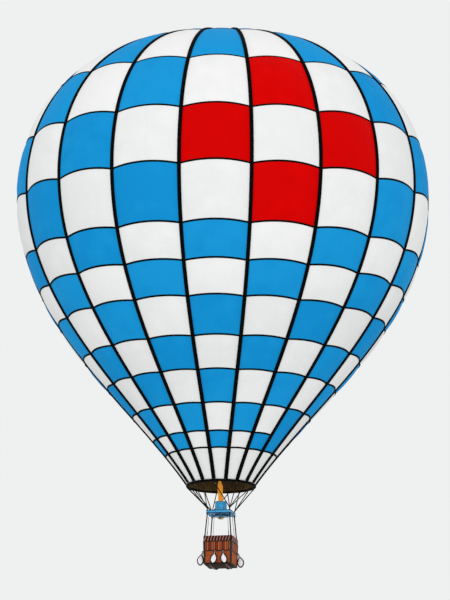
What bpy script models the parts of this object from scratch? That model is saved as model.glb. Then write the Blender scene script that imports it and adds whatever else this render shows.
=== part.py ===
# Hot air balloon with a chequered envelope, drawn at its real size in metres.
# +Z is up. The origin is the centre of lift, on the axis in the plane of the envelope's widest circle.
# Heights named below are measured up from the basket's underside, and level() turns them into z.
# Directions round the axis are angles from -Y, the front, towards +X.

import bisect
import math

import bmesh
import bpy
from mathutils import Vector

LIFT_HEIGHT = 14.93
TOUCH_GAP = 0.0003

# Envelope: the outline is two cubic curves, crown to widest circle and widest circle to mouth.
ENVELOPE_RADIUS = 8.25
CROWN_HEIGHT = 21.61
CROWN_FLATNESS = 6.85
SHOULDER_LENGTH = 2.46
WAIST_LENGTH = 4.98
MOUTH_RADIUS = 1.35
MOUTH_HEIGHT = 3.31
CONE_ANGLE = math.radians(34.6)
CONE_LENGTH = 4.15
CROWN_OPENING_RADIUS = 2.05

GORES = 18
GORE_ANGLE = 2 * math.pi / GORES
SEAM_HEIGHTS = (21.05, 19.47, 17.18, 14.82, 12.60, 11.17, 9.84, 8.35, 7.13, 6.02, 4.99, 4.41)
SPLIT_ROWS = 5
FABRIC_THICKNESS = 0.010
VALLEY_RATIO = 0.988
BULGE_RATIO = 0.022
SEAM_ARCH_RATIO = 0.017
END_GATHER = 1.0
COLUMNS = (-1.0, -0.5, 0.0, 0.5, 1.0)

BOTTOM_ROW = len(SEAM_HEIGHTS)
RED_PANELS = ((0, 3), (1, 2), (1, 4), (2, 3))
LONG_BLUE_PANEL = (3, 11)
LONG_WHITE_PANEL = (4, 11)

TAPE_WIDTH = 0.11
TAPE_THICKNESS = 0.012
TAPE_CLEARANCE = 0.0012
TAPE_FOOT_GAP = 0.025
CROWN_TAPE_SHARE = 0.8
CROWN_TAPE_ARCS = (1.4, 0.8)

HEM_INNER_RADIUS = 1.300
HEM_OUTER_RADIUS = 1.395
HEM_HEIGHT = 0.085
HEM_SEGMENTS = 36

CROWN_RING_RADIUS = 0.165
CROWN_RING_BAR = 0.040
CROWN_RING_SEGMENTS = 18
CROWN_BAND_WIDTH = 0.060
CROWN_BAND_THICKNESS = 0.018

PARACHUTE_RADIUS = 2.30
PARACHUTE_SEGMENTS = 36
PARACHUTE_RINGS = (0.75, 1.45)
PARACHUTE_GAP = 0.0006

# Flying wires and the frame that they carry
WIRE_DIAMETER = 0.028
WIRE_SIDES = 6
WIRE_HEM_RADIUS = 1.350
CORNER_BLOCK = 0.070
CORNER_BLOCK_HEIGHT = 0.085

FRAME_HALF = 0.490
FRAME_BOTTOM = 2.115
FRAME_DEPTH = 0.11
FRAME_WALL = 0.080
FRAME_PAN = 0.016
FRAME_HOLE_RADIUS = 0.325
CORNER_CENTRE = FRAME_HALF - FRAME_WALL / 2

PIVOT_HEIGHT = FRAME_BOTTOM - 0.045
PIN_RADIUS = 0.010
PIN_SIDES = 12
PIN_BORE_RADIUS = (PIN_RADIUS + 0.00005) / math.cos(math.pi / PIN_SIDES)
BEARING_INNER = 0.335
BEARING_OUTER = 0.415
BEARING_HALF_WIDTH = 0.030
BEARING_DROP = 0.030

GIMBAL_INNER_RADIUS = 0.256
GIMBAL_OUTER_RADIUS = 0.288
GIMBAL_HALF_HEIGHT = 0.036
ROUND_SEGMENTS = 32

CAN_RADIUS = 0.235
CAN_WALL = 0.012
CAN_TOP = 2.63
CAN_BELOW_PIVOT = 0.045
CAN_FLOOR = 0.030
COIL_RADIUS = 0.165
COIL_TUBE = 0.013
COIL_TURNS = 2.5
COIL_PITCH = 0.075
COIL_STEPS = 14
COIL_SIDES = 5
VALVE_HALF_LENGTH = 0.085
VALVE_HALF_WIDTH = 0.045
VALVE_DEPTH = 0.090
LEVER_LENGTH = 0.110
LEVER_RADIUS = 0.009

# Basket
BASKET_TOP_HALF = 0.575
BASKET_BASE_HALF = 0.550
WALL_THICKNESS = 0.030
SKID_HEIGHT = 0.040
SKID_HALF_WIDTH = 0.035
SKID_OFFSET = 0.330
FLOOR_THICKNESS = 0.025
WALL_TOP = 0.970
RIM_TOP = 1.180
RIM_WIDTH = 0.080
RIM_ROUNDING = 0.020
RIM_OVERHANG = 0.016
RIM_CORNER_RADIUS = 0.060
EDGING_THICKNESS = 0.014
EDGING_WIDTH = 0.050
BOTTOM_BAND = 0.055
MID_RAIL_HEIGHT = 0.575
MID_RAIL = 0.035
TOP_BAND = 0.030

POLE_RADIUS = 0.024
POLE_SIDES = 10
COLLAR_RADIUS = 0.031
COLLAR_HEIGHT = 0.070
STAY_RADIUS = 0.009
STAY_SPACING = 0.080

PEG_RADIUS = 0.014
PEG_LENGTH = 0.115
PEG_SIDES = 8
BAG_HEIGHT = 0.545
BAG_RADIUS = 0.145
BAG_NECK_RADIUS = 0.024
BAG_NECK_SHARE = 0.14
BAG_NECK_OFFSET = 0.075
BAG_BELLY_OFFSET = 0.172
BAG_SEGMENTS = 12
BAG_RINGS = 8
FRONT_BAGS = (("left", -0.085, -0.075), ("right", 0.225, 0.090))
SIDE_BAG_Y = 0.375

CYLINDER_RADIUS = 0.140
CYLINDER_HEIGHT = 0.700
CYLINDER_CENTRE = 0.355
CYLINDER_SEGMENTS = 20


def level(height):
    return height - LIFT_HEIGHT


def round_axis(radius, angle, z):
    return Vector((radius * math.sin(angle), -radius * math.cos(angle), z))


def material(name, colour, roughness, metallic=0.0):
    made = bpy.data.materials.new(name)
    made.use_nodes = True
    shader = made.node_tree.nodes["Principled BSDF"]
    shader.inputs["Base Color"].default_value = (*colour, 1.0)
    shader.inputs["Roughness"].default_value = roughness
    shader.inputs["Metallic"].default_value = metallic
    made.diffuse_color = (*colour, 1.0)
    return made


def add_object(name, mesh_data, *materials):
    placed = bpy.data.objects.new(name, mesh_data)
    bpy.context.scene.collection.objects.link(placed)
    for one in materials:
        mesh_data.materials.append(one)
    return placed


def finish_mesh(name, shape, smooth_angle=None):
    bmesh.ops.recalc_face_normals(shape, faces=shape.faces)
    mesh_data = bpy.data.meshes.new(name)
    shape.to_mesh(mesh_data)
    shape.free()
    if smooth_angle is not None:
        mesh_data.shade_smooth()
        mesh_data.set_sharp_from_angle(angle=math.radians(smooth_angle))
    return mesh_data


def add_loft(shape, rings, loop=False):
    """Skins rings of equal length; the ends are capped unless the rings close on themselves."""
    made = [[shape.verts.new(point) for point in ring] for ring in rings]
    pairs = list(zip(made[:-1], made[1:]))
    if loop:
        pairs.append((made[-1], made[0]))
    for low, high in pairs:
        count = len(low)
        for k in range(count):
            shape.faces.new((low[k], low[(k + 1) % count], high[(k + 1) % count], high[k]))
    if not loop:
        shape.faces.new(list(reversed(made[0])))
        shape.faces.new(made[-1])


def circle(centre, radius, sides, turn=0.0):
    """A level circle of points."""
    steps = (2 * math.pi * k / sides + turn for k in range(sides))
    return [centre + Vector((radius * math.cos(a), radius * math.sin(a), 0)) for a in steps]


def turned(profile, segments):
    """A closed profile of (radius, z) points turned round the Z axis, as a list of rings."""
    steps = (2 * math.pi * k / segments for k in range(segments))
    return [[round_axis(radius, a, z) for radius, z in profile] for a in steps]


def rod_along(centre, axis, radius, half_length, sides):
    """Two end rings of a rod centred on a point, along X or Y."""
    rings = []
    for end in (-half_length, half_length):
        ring = []
        for k in range(sides):
            a = 2 * math.pi * (k + 0.5) / sides
            across, up = radius * math.cos(a), radius * math.sin(a)
            step = Vector((end, across, up)) if axis == "X" else Vector((across, end, up))
            ring.append(centre + step)
        rings.append(ring)
    return rings


def add_box(shape, low, high):
    corners = [(low[0], low[1]), (high[0], low[1]), (high[0], high[1]), (low[0], high[1])]
    add_loft(shape, [[Vector((x, y, z)) for x, y in corners] for z in (low[2], high[2])])


def helper(name, shape):
    """A cutter, or a piece to be joined on, that is no part of the balloon by itself."""
    made = add_object(name, finish_mesh(name, shape))
    made.hide_render = True
    made.display_type = "WIRE"
    return made


def boolean(target, other, operation):
    step = target.modifiers.new(operation.title(), "BOOLEAN")
    step.operation = operation
    step.solver = "EXACT"
    step.object = other


def curve_points(handles, steps):
    """Points of a cubic curve with four handles, each (radius, height)."""
    points = []
    for k in range(steps + 1):
        t = k / steps
        weights = ((1 - t) ** 3, 3 * (1 - t) ** 2 * t, 3 * (1 - t) * t * t, t ** 3)
        points.append(tuple(sum(w * h[i] for w, h in zip(weights, handles)) for i in (0, 1)))
    return points


class Outline:
    """The envelope's outline from crown to mouth, read by its length along the fabric."""

    def __init__(self):
        shoulder = (
            (0.0, CROWN_HEIGHT),
            (CROWN_FLATNESS, CROWN_HEIGHT),
            (ENVELOPE_RADIUS, LIFT_HEIGHT + SHOULDER_LENGTH),
            (ENVELOPE_RADIUS, LIFT_HEIGHT),
        )
        cone_foot = (
            MOUTH_RADIUS + CONE_LENGTH * math.sin(CONE_ANGLE),
            MOUTH_HEIGHT + CONE_LENGTH * math.cos(CONE_ANGLE),
        )
        waist = (
            (ENVELOPE_RADIUS, LIFT_HEIGHT),
            (ENVELOPE_RADIUS, LIFT_HEIGHT - WAIST_LENGTH),
            cone_foot,
            (MOUTH_RADIUS, MOUTH_HEIGHT),
        )
        self.points = curve_points(shoulder, 300)[:-1] + curve_points(waist, 300)
        self.arcs = [0.0]
        for (r0, h0), (r1, h1) in zip(self.points[:-1], self.points[1:]):
            self.arcs.append(self.arcs[-1] + math.hypot(r1 - r0, h1 - h0))
        self.length = self.arcs[-1]

    def at(self, arc):
        """(radius, z, outward normal's radial part, its upward part) at a length from the crown."""
        k = min(max(bisect.bisect_left(self.arcs, arc), 1), len(self.arcs) - 1)
        (r0, h0), (r1, h1) = self.points[k - 1], self.points[k]
        span = self.arcs[k] - self.arcs[k - 1]
        share = (arc - self.arcs[k - 1]) / span
        radius, height = r0 + (r1 - r0) * share, h0 + (h1 - h0) * share
        return radius, level(height), (h0 - h1) / span, (r1 - r0) / span

    def arc_at_height(self, height):
        k = next(i for i, (_, h) in enumerate(self.points) if h < height)
        (_, h0), (_, h1) = self.points[k - 1], self.points[k]
        return self.arcs[k - 1] + (self.arcs[k] - self.arcs[k - 1]) * (h0 - height) / (h0 - h1)

    def arc_at_crown_radius(self, radius):
        k = next(i for i, (r, _) in enumerate(self.points) if r > radius)
        (r0, _), (r1, _) = self.points[k - 1], self.points[k]
        return self.arcs[k - 1] + (self.arcs[k] - self.arcs[k - 1]) * (radius - r0) / (r1 - r0)


OUTLINE = Outline()
OPENING_ARC = OUTLINE.arc_at_crown_radius(CROWN_OPENING_RADIUS / VALLEY_RATIO)


def gather(arc):
    """How far the fabric is let out between its gathered ends: 0 at crown and mouth, 1 between them."""
    room = min(arc - OPENING_ARC, OUTLINE.length - arc) / END_GATHER
    room = min(max(room, 0.0), 1.0)
    return room * room * (3 - 2 * room)


def stations():
    """(length from the crown, row) of each line of points across a gore, from the crown down."""
    edges = [OPENING_ARC, *(OUTLINE.arc_at_height(h) for h in SEAM_HEIGHTS), OUTLINE.length]
    found = []
    for row, (top, bottom) in enumerate(zip(edges[:-1], edges[1:])):
        found.append((top, row))
        if row < SPLIT_ROWS:
            found.append(((top + bottom) / 2, row))
    found.append((edges[-1], BOTTOM_ROW))
    return found


STATIONS = stations()


def gore_point(angle, u, arc):
    """A point of a gore's outer face: u runs from -1 at one load tape to 1 at the next."""
    open_share = gather(arc)
    crest = 1 - u * u
    arch = SEAM_ARCH_RATIO * OUTLINE.at(arc)[0] * open_share * crest
    radius, z, out, up = OUTLINE.at(arc - arch)
    bulge = BULGE_RATIO * radius * open_share * crest
    turn = angle + u * GORE_ANGLE / 2
    point = round_axis(radius * VALLEY_RATIO + out * bulge, turn, z + up * bulge)
    sideways = Vector((math.cos(turn), math.sin(turn), 0))
    return point - sideways * u ** 3 * TOUCH_GAP / 2


def panel_colour(gore, row):
    """0 white, 1 blue, 2 red."""
    if (gore, row) in RED_PANELS:
        return 2
    if (gore, row) == LONG_BLUE_PANEL:
        return 1
    if (gore, row) == LONG_WHITE_PANEL or row == BOTTOM_ROW:
        return 0
    return (gore + row) % 2


def build_gore(index, fabrics):
    shape = bmesh.new()
    angle = (index + 0.5) * GORE_ANGLE
    rows = [[shape.verts.new(gore_point(angle, u, arc)) for u in COLUMNS] for arc, _ in STATIONS]
    for (_, row), upper, lower in zip(STATIONS, rows[:-1], rows[1:]):
        for k in range(len(COLUMNS) - 1):
            face = shape.faces.new((upper[k], lower[k], lower[k + 1], upper[k + 1]))
            face.material_index = panel_colour(index, row)
    mesh_data = bpy.data.meshes.new("gore")
    shape.to_mesh(mesh_data)
    shape.free()
    mesh_data.shade_smooth()
    gore = add_object(f"gore_{index + 1:02d}", mesh_data, *fabrics)
    wall = gore.modifiers.new("Fabric", "SOLIDIFY")
    wall.thickness = FABRIC_THICKNESS
    wall.offset = -1


def tape_ring(angle, arc, width, neighbours):
    """The four corners of a load tape where it crosses one line of points, clear of the gores beside it."""
    radius, z, out, up = OUTLINE.at(arc)
    valley = round_axis(radius * VALLEY_RATIO, angle, z)
    outward = round_axis(out, angle, up)
    sideways = Vector((math.cos(angle), math.sin(angle), 0))
    slopes = []
    for place in (arc, *neighbours):
        if place < OPENING_ARC:
            continue
        edge = gore_point(angle + GORE_ANGLE / 2, -1.0, place)
        beside = gore_point(angle + GORE_ANGLE / 2, COLUMNS[1], place) - edge
        slopes.append(beside.dot(outward) / beside.dot(sideways))
    lift = max([0.0, *slopes]) * width / 2 + TAPE_CLEARANCE
    low, high = lift, lift + TAPE_THICKNESS
    half = sideways * width / 2
    return [
        valley - half + outward * low,
        valley + half + outward * low,
        valley + half + outward * high,
        valley - half + outward * high,
    ]


def build_load_tapes(webbing):
    """The 18 load tapes, tied into one net by the band that is sewn round the crown ring."""
    inner = CROWN_RING_RADIUS + CROWN_RING_BAR / 2 + TOUCH_GAP
    start_arc = OUTLINE.arc_at_crown_radius((inner + CROWN_BAND_WIDTH / 2) / VALLEY_RATIO)
    arcs = [start_arc, *reversed(CROWN_TAPE_ARCS), *(arc for arc, _ in STATIONS)]
    arcs[-1] -= TAPE_FOOT_GAP
    shape = bmesh.new()
    for index in range(GORES):
        angle = index * GORE_ANGLE
        rings = []
        for arc, *neighbours in zip(arcs, [arcs[0], *arcs[:-1]], [*arcs[1:], arcs[-1]]):
            room = CROWN_TAPE_SHARE * GORE_ANGLE * OUTLINE.at(arc)[0]
            rings.append(tape_ring(angle, arc, min(TAPE_WIDTH, room), neighbours))
        add_loft(shape, rings)
    tapes = helper("tape_strips", shape)

    middle = OUTLINE.at(start_arc)[1] + TAPE_CLEARANCE + TAPE_THICKNESS / 2
    low, high = middle - CROWN_BAND_THICKNESS / 2, middle + CROWN_BAND_THICKNESS / 2
    outer = inner + CROWN_BAND_WIDTH
    shape = bmesh.new()
    profile = ((inner, low), (outer, low), (outer, high), (inner, high))
    add_loft(shape, turned(profile, CROWN_RING_SEGMENTS), loop=True)
    net = add_object("load_tapes", finish_mesh("load_tapes", shape), webbing)
    boolean(net, tapes, "UNION")


def build_mouth_hem(webbing):
    """The stiff hem that rings the mouth and takes the flying wires."""
    top, bottom = level(MOUTH_HEIGHT) - TOUCH_GAP, level(MOUTH_HEIGHT - HEM_HEIGHT)
    profile = (
        (HEM_INNER_RADIUS, bottom),
        (HEM_OUTER_RADIUS, bottom),
        (HEM_OUTER_RADIUS, top),
        (HEM_INNER_RADIUS, top),
    )
    shape = bmesh.new()
    add_loft(shape, turned(profile, HEM_SEGMENTS), loop=True)
    add_object("mouth_hem", finish_mesh("mouth_hem", shape), webbing)


def build_crown_ring(metal):
    radius, z, _, _ = OUTLINE.at(CROWN_RING_RADIUS)
    middle = z + TAPE_CLEARANCE + TAPE_THICKNESS / 2
    inner, outer = CROWN_RING_RADIUS - CROWN_RING_BAR / 2, CROWN_RING_RADIUS + CROWN_RING_BAR / 2
    low, high = middle - CROWN_RING_BAR / 2, middle + CROWN_RING_BAR / 2
    shape = bmesh.new()
    profile = ((inner, low), (outer, low), (outer, high), (inner, high))
    add_loft(shape, turned(profile, CROWN_RING_SEGMENTS), loop=True)
    add_object("crown_ring", finish_mesh("crown_ring", shape, 40), metal)


def build_parachute(fabric):
    """The round vent panel that closes the crown from inside and is pulled down to let hot air out."""
    sunk = FABRIC_THICKNESS + PARACHUTE_GAP
    upper = []
    for arc in (*PARACHUTE_RINGS, OPENING_ARC):
        radius, z, out, up = OUTLINE.at(arc)
        upper.append((radius * VALLEY_RATIO - out * sunk, z - up * sunk))
    (start_radius, start_z), (end_radius, end_z, _, _) = upper[-1], OUTLINE.at(STATIONS[1][0])
    share = (PARACHUTE_RADIUS - start_radius) / (end_radius * VALLEY_RATIO - start_radius)
    upper.append((PARACHUTE_RADIUS, start_z + (end_z - sunk - start_z) * share))
    ring_z = level(CROWN_HEIGHT) - CROWN_RING_BAR
    shape = bmesh.new()
    for drop, order in ((0.0, 1), (FABRIC_THICKNESS, -1)):
        hub = shape.verts.new((0, 0, ring_z - drop))
        rings = []
        for radius, z in upper:
            points = [round_axis(radius, 2 * math.pi * k / PARACHUTE_SEGMENTS, z - drop)
                      for k in range(PARACHUTE_SEGMENTS)]
            rings.append([shape.verts.new(point) for point in points])
        for k in range(PARACHUTE_SEGMENTS):
            after = (k + 1) % PARACHUTE_SEGMENTS
            shape.faces.new((hub, rings[0][k], rings[0][after]))
            for inner, outer in zip(rings[:-1], rings[1:]):
                shape.faces.new((inner[k], outer[k], outer[after], inner[after]))
        if order == 1:
            upper_edge = rings[-1]
        else:
            for k in range(PARACHUTE_SEGMENTS):
                after = (k + 1) % PARACHUTE_SEGMENTS
                shape.faces.new((upper_edge[k], rings[-1][k], rings[-1][after], upper_edge[after]))
    add_object("parachute_vent", finish_mesh("parachute_vent", shape, 40), fabric)


def corner_of(angle):
    """The frame corner that carries the flying wire at an angle: signs of x and y, and its name."""
    turn = math.degrees(angle) % 360
    if turn < 90:
        return (1, -1), "front_right"
    if turn < 180:
        return (1, 1), "back_right"
    if turn < 270:
        return (-1, 1), "back_left"
    return (-1, -1), "front_left"


def build_flying_wires(steel):
    """The wires from the load tapes' feet, gathered in four fans on the frame's corner blocks."""
    fans = {}
    for index in range(GORES):
        signs, name = corner_of(index * GORE_ANGLE)
        fans.setdefault(name, (signs, []))[1].append(index * GORE_ANGLE)
    top = level(MOUTH_HEIGHT - HEM_HEIGHT) - TOUCH_GAP
    block_low = level(FRAME_BOTTOM + FRAME_DEPTH) + TOUCH_GAP
    block_high = block_low + CORNER_BLOCK_HEIGHT
    half = CORNER_BLOCK / 2
    for name, (signs, angles) in fans.items():
        centre = Vector((signs[0] * CORNER_CENTRE, signs[1] * CORNER_CENTRE, 0))
        shape = bmesh.new()
        low = centre + Vector((-half, -half, block_low))
        high = centre + Vector((half, half, block_high))
        add_box(shape, low, high)
        block = add_object(f"flying_wires_{name}", finish_mesh(f"flying_wires_{name}", shape), steel)
        shape = bmesh.new()
        for k, angle in enumerate(angles):
            spread = (k - (len(angles) - 1) / 2) * WIRE_DIAMETER * 0.12
            foot = centre + Vector((spread * signs[1], spread * -signs[0], block_high - 0.045))
            head = round_axis(WIRE_HEM_RADIUS, angle, top)
            rings = [circle(p, WIRE_DIAMETER / 2, WIRE_SIDES, angle) for p in (foot, head)]
            add_loft(shape, rings)
            wire = helper(f"wire_{name}_{k}", shape)
            boolean(block, wire, "UNION")
            shape = bmesh.new()
        shape.free()


def build_load_frame(paint):
    """The square tray that hangs from the flying wires and carries burner and basket."""
    bottom, top = level(FRAME_BOTTOM), level(FRAME_BOTTOM + FRAME_DEPTH)
    pan, inner = bottom + FRAME_PAN, FRAME_HALF - FRAME_WALL
    shape = bmesh.new()
    add_box(shape, (-FRAME_HALF, -FRAME_HALF, bottom), (FRAME_HALF, FRAME_HALF, top))
    frame = add_object("load_frame", finish_mesh("load_frame", shape, 40), paint)

    shape = bmesh.new()
    add_box(shape, (-inner, -inner, pan), (inner, inner, top + 0.1))
    boolean(frame, helper("frame_well", shape), "DIFFERENCE")

    shape = bmesh.new()
    ends = (bottom - 0.05, pan + 0.05)
    add_loft(shape, [circle(Vector((0, 0, z)), FRAME_HOLE_RADIUS, ROUND_SEGMENTS) for z in ends])
    boolean(frame, helper("frame_hole", shape), "DIFFERENCE")

    pivot = level(PIVOT_HEIGHT)
    for side in (-1, 1):
        shape = bmesh.new()
        xs = sorted((side * BEARING_INNER, side * BEARING_OUTER))
        low = (xs[0], -BEARING_HALF_WIDTH, pivot - BEARING_DROP)
        add_box(shape, low, (xs[1], BEARING_HALF_WIDTH, bottom + FRAME_PAN / 2))
        boolean(frame, helper(f"bearing_block_{side + 2}", shape), "UNION")
    shape = bmesh.new()
    add_loft(shape, rod_along(Vector((0, 0, pivot)), "X", PIN_BORE_RADIUS, 0.390, PIN_SIDES))
    boolean(frame, helper("frame_pin_bore", shape), "DIFFERENCE")


def build_gimbal_ring(metal):
    """The ring between frame and burner: it tips on pins along X, and the burner tips in it along Y."""
    pivot = level(PIVOT_HEIGHT)
    low, high = pivot - GIMBAL_HALF_HEIGHT, pivot + GIMBAL_HALF_HEIGHT
    inner, outer = GIMBAL_INNER_RADIUS, GIMBAL_OUTER_RADIUS
    shape = bmesh.new()
    profile = ((inner, low), (outer, low), (outer, high), (inner, high))
    add_loft(shape, turned(profile, ROUND_SEGMENTS), loop=True)
    ring = add_object("gimbal_ring", finish_mesh("gimbal_ring", shape, 40), metal)
    half_pin = 0.050
    for side in (-1, 1):
        shape = bmesh.new()
        centre = Vector((side * (outer - 0.012 + half_pin), 0, pivot))
        add_loft(shape, rod_along(centre, "X", PIN_RADIUS, half_pin, PIN_SIDES))
        boolean(ring, helper(f"gimbal_pin_{side + 2}", shape), "UNION")
    shape = bmesh.new()
    add_loft(shape, rod_along(Vector((0, 0, pivot)), "Y", PIN_BORE_RADIUS, 0.320, PIN_SIDES))
    boolean(ring, helper("gimbal_pin_bore", shape), "DIFFERENCE")


def build_burner(paint, steel, dark):
    pivot = level(PIVOT_HEIGHT)
    bottom, top = pivot - CAN_BELOW_PIVOT, level(CAN_TOP)
    inner, floor = CAN_RADIUS - CAN_WALL, pivot - CAN_BELOW_PIVOT + CAN_FLOOR
    shape = bmesh.new()
    ends = (bottom, top)
    add_loft(shape, [circle(Vector((0, 0, z)), CAN_RADIUS, ROUND_SEGMENTS) for z in ends])
    can = add_object("burner_can", finish_mesh("burner_can", shape, 40), paint)
    shape = bmesh.new()
    ends = (floor, top + 0.1)
    add_loft(shape, [circle(Vector((0, 0, z)), inner, ROUND_SEGMENTS) for z in ends])
    boolean(can, helper("can_well", shape), "DIFFERENCE")
    half_pin = 0.025
    for side in (-1, 1):
        shape = bmesh.new()
        centre = Vector((0, side * (CAN_RADIUS - 0.006 + half_pin), pivot))
        add_loft(shape, rod_along(centre, "Y", PIN_RADIUS, half_pin, PIN_SIDES))
        boolean(can, helper(f"can_pin_{side + 2}", shape), "UNION")

    shape = bmesh.new()
    start = floor + COIL_TUBE + TOUCH_GAP
    rings = []
    for k in range(round(COIL_TURNS * COIL_STEPS) + 1):
        turn = 2 * math.pi * k / COIL_STEPS
        centre = round_axis(COIL_RADIUS, turn, start + COIL_PITCH * k / COIL_STEPS)
        outward = round_axis(1.0, turn, 0.0)
        ring = []
        for side in range(COIL_SIDES):
            a = 2 * math.pi * side / COIL_SIDES
            offset = outward * math.cos(a) + Vector((0, 0, math.sin(a)))
            ring.append(centre + offset * COIL_TUBE)
        rings.append(ring)
    add_loft(shape, rings)
    add_object("vaporiser_coil", finish_mesh("vaporiser_coil", shape, 60), steel)

    under = bottom - TOUCH_GAP
    shape = bmesh.new()
    low = (-VALVE_HALF_LENGTH, -VALVE_HALF_WIDTH, under - VALVE_DEPTH)
    add_box(shape, low, (VALVE_HALF_LENGTH, VALVE_HALF_WIDTH, under))
    block = add_object("valve_block", finish_mesh("valve_block", shape, 40), dark)
    shape = bmesh.new()
    centre = Vector((0, -(VALVE_HALF_WIDTH + LEVER_LENGTH / 2 - 0.01), under - VALVE_DEPTH / 2))
    add_loft(shape, rod_along(centre, "Y", LEVER_RADIUS, LEVER_LENGTH / 2, 8))
    boolean(block, helper("blast_lever", shape), "UNION")


def basket_half(height):
    """Half the basket's outer width: it flares a little from floor to rim."""
    share = (height - SKID_HEIGHT) / (WALL_TOP - SKID_HEIGHT)
    return BASKET_BASE_HALF + (BASKET_TOP_HALF - BASKET_BASE_HALF) * share


def quarter_turns(point, turns):
    for _ in range(turns):
        point = Vector((-point.y, point.x, point.z))
    return point


def build_walls(wicker):
    bottom = SKID_HEIGHT + FLOOR_THICKNESS + TOUCH_GAP
    for turns, name in enumerate(("front", "right", "back", "left")):
        rings = []
        for height in (bottom, WALL_TOP):
            out = basket_half(height)
            inn = out - WALL_THICKNESS
            corners = (
                (-out + TOUCH_GAP, -out),
                (out - TOUCH_GAP, -out),
                (inn - TOUCH_GAP, -inn),
                (-inn + TOUCH_GAP, -inn),
            )
            rings.append([quarter_turns(Vector((x, y, level(height))), turns) for x, y in corners])
        shape = bmesh.new()
        add_loft(shape, rings)
        add_object(f"basket_wall_{name}", finish_mesh(f"basket_wall_{name}", shape), wicker)


def square_ring(half, height):
    corners = ((-half, -half), (half, -half), (half, half), (-half, half))
    return [Vector((x, y, level(height))) for x, y in corners]


def build_floor(wood):
    shape = bmesh.new()
    half = basket_half(SKID_HEIGHT)
    top = SKID_HEIGHT + FLOOR_THICKNESS
    add_loft(shape, [square_ring(half, SKID_HEIGHT), square_ring(half, top)])
    add_object("basket_floor", finish_mesh("basket_floor", shape), wood)
    reach = half - 0.010
    for side, name in ((-1, "left"), (1, "right")):
        shape = bmesh.new()
        x = side * SKID_OFFSET
        low = (x - SKID_HALF_WIDTH, -reach, level(0))
        add_box(shape, low, (x + SKID_HALF_WIDTH, reach, level(SKID_HEIGHT) - TOUCH_GAP))
        add_object(f"skid_{name}", finish_mesh(f"skid_{name}", shape), wood)


def bag_places():
    """(name, place of the wall's foot of the peg, outward direction, splay along the wall)."""
    out = basket_half(MID_RAIL_HEIGHT)
    places = []
    for turns, end in ((0, "front"), (2, "back")):
        for hand, peg_x, lean in FRONT_BAGS:
            foot = quarter_turns(Vector((peg_x, -out, 0)), turns)
            outward = quarter_turns(Vector((0, -1, 0)), turns)
            splay = quarter_turns(Vector((lean, 0, 0)), turns)
            places.append((f"{end}_{hand}", foot, outward, splay))
    for side, name in ((-1, "side_left"), (1, "side_right")):
        foot = Vector((side * out, side * SIDE_BAG_Y, 0))
        places.append((name, foot, Vector((side, 0, 0)), Vector((0, 0, 0))))
    return places


def build_edging(leather):
    """Dark leather angles on the basket's corners with the bands that join them, and the bag pegs."""
    gap = TOUCH_GAP * 2
    low, high = SKID_HEIGHT, WALL_TOP - TOUCH_GAP
    rings = []
    for height, extra in ((low, gap), (low, EDGING_THICKNESS), (high, EDGING_THICKNESS), (high, gap)):
        rings.append(square_ring(basket_half(height) + extra, height))
    shape = bmesh.new()
    add_loft(shape, rings, loop=True)
    edging = add_object("basket_edging", finish_mesh("basket_edging", shape), leather)
    reach = BASKET_BASE_HALF - EDGING_WIDTH
    windows = (
        (SKID_HEIGHT + BOTTOM_BAND, MID_RAIL_HEIGHT - MID_RAIL / 2),
        (MID_RAIL_HEIGHT + MID_RAIL / 2, WALL_TOP - TOP_BAND),
    )
    for k, (sill, head) in enumerate(windows):
        for across, name in (((reach, 1.0), "front"), ((1.0, reach), "side")):
            shape = bmesh.new()
            start = (-across[0], -across[1], level(sill))
            add_box(shape, start, (across[0], across[1], level(head)))
            boolean(edging, helper(f"edging_window_{name}_{k}", shape), "DIFFERENCE")
    for name, foot, outward, _ in bag_places():
        axis = "X" if abs(outward.x) > 0.5 else "Y"
        start = gap + 0.004
        centre = foot + outward * (start + PEG_LENGTH) / 2 + Vector((0, 0, level(MID_RAIL_HEIGHT)))
        shape = bmesh.new()
        add_loft(shape, rod_along(centre, axis, PEG_RADIUS, (PEG_LENGTH - start) / 2, PEG_SIDES))
        boolean(edging, helper(f"peg_{name}", shape), "UNION")


def rounded_square(half, corner, height):
    """A level square loop with round corners, four points to a corner."""
    points = []
    for quarter in range(4):
        for k in range(4):
            a = math.pi * (-0.5 + k / 6)
            x = half - corner + corner * math.cos(a)
            y = -half + corner + corner * math.sin(a)
            points.append(quarter_turns(Vector((x, y, level(height))), quarter))
    return points


def build_rim(leather):
    """The padded leather roll that finishes the basket's top edge."""
    outer = BASKET_TOP_HALF + RIM_OVERHANG
    inner = outer - RIM_WIDTH
    low, high, r = WALL_TOP + TOUCH_GAP, RIM_TOP, RIM_ROUNDING
    section = (
        (inner, low), (outer, low), (outer, high - r), (outer - 0.3 * r, high - 0.3 * r),
        (outer - r, high), (inner + r, high), (inner + 0.3 * r, high - 0.3 * r), (inner, high - r),
    )
    loops = [rounded_square(half, RIM_CORNER_RADIUS * half / outer, height) for half, height in section]
    shape = bmesh.new()
    add_loft(shape, loops, loop=True)
    add_object("basket_rim", finish_mesh("basket_rim", shape, 30), leather)


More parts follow.
